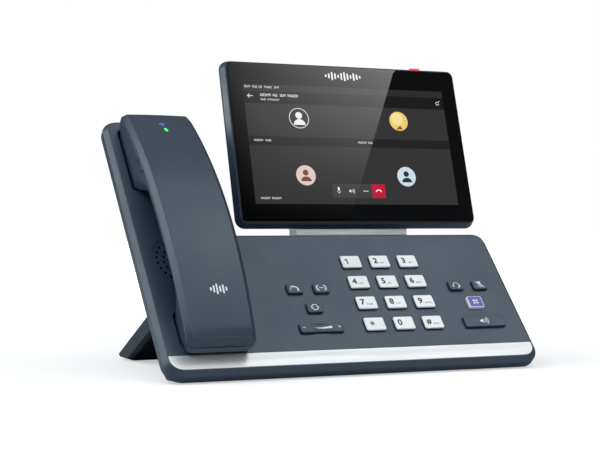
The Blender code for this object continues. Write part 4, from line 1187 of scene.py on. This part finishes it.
REFINED = (
    # material, width of the softened edge, nodes
    ("slate", 0.5, "base_rear_cover"),
    ("silver", 0.35, "neck_bracket"),
    ("silver", 0.25, "neck_rear_cover"),
    ("steel", 0.2, "display_hinge_bracket handset_microphone"),
    ("steel", 0.3, "hinge_shaft"),
    ("steel", 0.15, "rear_screw_1 rear_screw_2 rear_screw_3"),
    # the foot at the back takes the slate darkened as painted shade
    ("stand", 0.5, "foot_stand"),
    ("rubber", 0.3, "front_foot_left front_foot_right stand_foot_left stand_foot_right"),
    ("dark", 0.2, "network_socket_pair headset_socket power_socket loudspeaker handset_earpiece"),
    ("dark", 0.15, "usb_socket"),
    ("dark", 0.0, "lcd_panel"),
    ("red", 0.25, "message_lamp"),
    ("handset", 0.25, "handset_volume_rocker handset_mute_button"),
    ("board", 0.0, "main_board handset_board"),
    ("silicone", 0.0, "keypad_membrane"),
    ("battery", 0.4, "handset_battery"),
    ("gold", 0.2, "charge_contact_left charge_contact_right handset_charge_pad_left handset_charge_pad_right"),
)


def make_refined():
    for material, width, nodes in REFINED:
        for node in nodes.split():
            refined(node, material, width)


# ---- stage, lights and camera

def stage_object(name, mesh, material):
    """A thing of the studio, which is no part of the phone."""
    mesh.materials.append(material)
    obj = new_object(name, mesh)
    return obj


def make_floor():
    """Pale floor that glows towards the camera only, so that it is white away from the phone's shadow."""
    bm = bmesh.new()
    bmesh.ops.create_grid(bm, x_segments=1, y_segments=1, size=6.0)
    kit = Nodes("pale_floor")
    kit.set(Base_Color=(0.60, 0.60, 0.60, 1.0), Roughness=0.9, Specular_IOR_Level=0.1)
    near = kit.add("ShaderNodeTexCoord")
    reach = kit.add("ShaderNodeVectorMath", operation="LENGTH")
    kit.join(reach, near.outputs["Object"])
    rays = kit.add("ShaderNodeLightPath")
    whiter = kit.spread(reach.outputs["Value"], 0.49, 1.0, 0.25, 1.0)
    glow = kit.math("MULTIPLY", whiter, rays.outputs["Is Camera Ray"])
    kit.link(glow, "Emission Strength")
    stage_object("floor", mesh_of(bm, "floor"), kit.material)


CAMERA = Vector((-0.37559, -0.85291, 0.09565))
CAMERA_DIP = 0.094
CAMERA_TURN = 23.327
CAMERA_LENS = 82.37


def make_camera():
    camera = bpy.data.cameras.new("camera")
    camera.lens = CAMERA_LENS
    camera.clip_start = 0.01
    obj = new_object("camera", camera)
    obj.location = CAMERA
    obj.rotation_euler = (math.radians(90.0 - CAMERA_DIP), 0.0, -math.radians(CAMERA_TURN))
    bpy.context.scene.camera = obj


CARD_CORNERS = (
    # place on the display that mirrors the corner, and how the glow runs: across and up
    (-18.7, -75.0, 1.0, 0.0), (52.8, 85.0, 1.0, 1.1), (-102.0, 85.0, 0.0, 1.1), (-102.0, -75.0, 0.0, 0.0),
)
CARD_DISTANCE = 1.1
CARD_STRENGTH = 4.9


def make_reflection_card():
    """A white card in front of the phone, which only the glass mirrors; it fades to the left and down."""
    normal = (DISPLAY.to_3x3() @ Vector((0.0, 0.0, 1.0))).normalized()
    corners = []
    for x, y, _, _ in CARD_CORNERS:
        point = DISPLAY @ Vector((x, y, 0.0))
        ray = (point - CAMERA).normalized()
        corners.append(point + (ray - 2.0 * ray.dot(normal) * normal) * CARD_DISTANCE)
    mesh = bpy.data.meshes.new("card")
    mesh.from_pydata([tuple(corner) for corner in corners], [], [(0, 1, 2, 3)])
    layer = mesh.uv_layers.new(name="card")
    for loop, corner in zip(layer.data, CARD_CORNERS):
        loop.uv = corner[2:]
    kit = Nodes("card_light")
    kit.tree.nodes.clear()
    place = kit.add("ShaderNodeUVMap", uv_map="card")
    split = kit.add("ShaderNodeSeparateXYZ")
    kit.join(split, place.outputs["UV"])
    across = kit.spread(split.outputs["X"], 0.0, 1.0, 0.0, 1.0)
    up = kit.spread(split.outputs["Y"], 0.0, CARD_STRENGTH, 0.08, 1.0)
    glow = kit.add("ShaderNodeEmission")
    kit.link(kit.math("MULTIPLY", kit.math("MULTIPLY", across, split.outputs["Y"]), up), glow.inputs["Strength"])
    kit.join(kit.add("ShaderNodeOutputMaterial"), glow.outputs[0])
    card = stage_object("card", mesh, kit.material)
    card.visible_camera = False
    card.visible_diffuse = False
    card.visible_shadow = False


AMBIENT = 0.08
WORLD_TINT = (0.93, 0.98, 1.0, 1.0)
LIGHT_LOBES = (
    # direction, cosine where it starts, cosine where it is full, radiance
    ((0.00, 0.10, 1.00), 0.55, 0.95, 0.30),
    ((0.34, -0.19, 0.92), 0.925, 0.99, 1.45),
    ((0.60, -0.30, 0.74), 0.91, 0.985, 1.05),
    ((-0.15, -0.70, 0.70), 0.88, 0.97, 2.0),
    ((-0.68, 0.12, 0.72), 0.89, 0.95, 3.0),
    ((-0.87, 0.46, 0.14), 0.968, 0.988, 6.0),
    ((0.40, -0.91, 0.05), 0.965, 0.985, 2.2),
)


def make_world():
    """White behind the phone; soft boxes of different size and strength all around it."""
    world = bpy.data.worlds.new("studio")
    world.use_nodes = True
    kit = Nodes("", world.node_tree)
    kit.tree.nodes.clear()
    place = kit.add("ShaderNodeTexCoord")
    base = kit.add("ShaderNodeValue")
    base.outputs[0].default_value = AMBIENT
    total = base.outputs[0]
    for direction, start, full, radiance in LIGHT_LOBES:
        towards = kit.dot(place.outputs["Generated"], Vector(direction).normalized())
        lobe = kit.spread(towards, 0.0, radiance, start, full, interpolation_type="SMOOTHSTEP")
        total = kit.math("ADD", total, lobe)
    around = kit.add("ShaderNodeBackground", [("Color", WORLD_TINT)])
    kit.link(total, around.inputs["Strength"])
    seen = kit.add("ShaderNodeBackground", [("Color", (1.0, 1.0, 1.0, 1.0))])
    rays = kit.add("ShaderNodeLightPath")
    mix = kit.add("ShaderNodeMixShader")
    kit.join(mix, rays.outputs["Is Camera Ray"], around.outputs[0], seen.outputs[0])
    kit.join(kit.add("ShaderNodeOutputWorld"), mix.outputs[0])
    bpy.context.scene.world = world


def make_stage():
    make_floor()
    make_world()
    make_reflection_card()
    make_camera()
    bpy.context.scene.view_settings.view_transform = "Standard"


make_base_face()
make_trim()
make_dial_keys()
make_function_keys()
make_volume_key()
make_handset_front()
make_handset_rear()
make_handset_mark()
make_lamps()
make_display_housing()
make_display_glass()
make_screen()
make_refined()
make_stage()
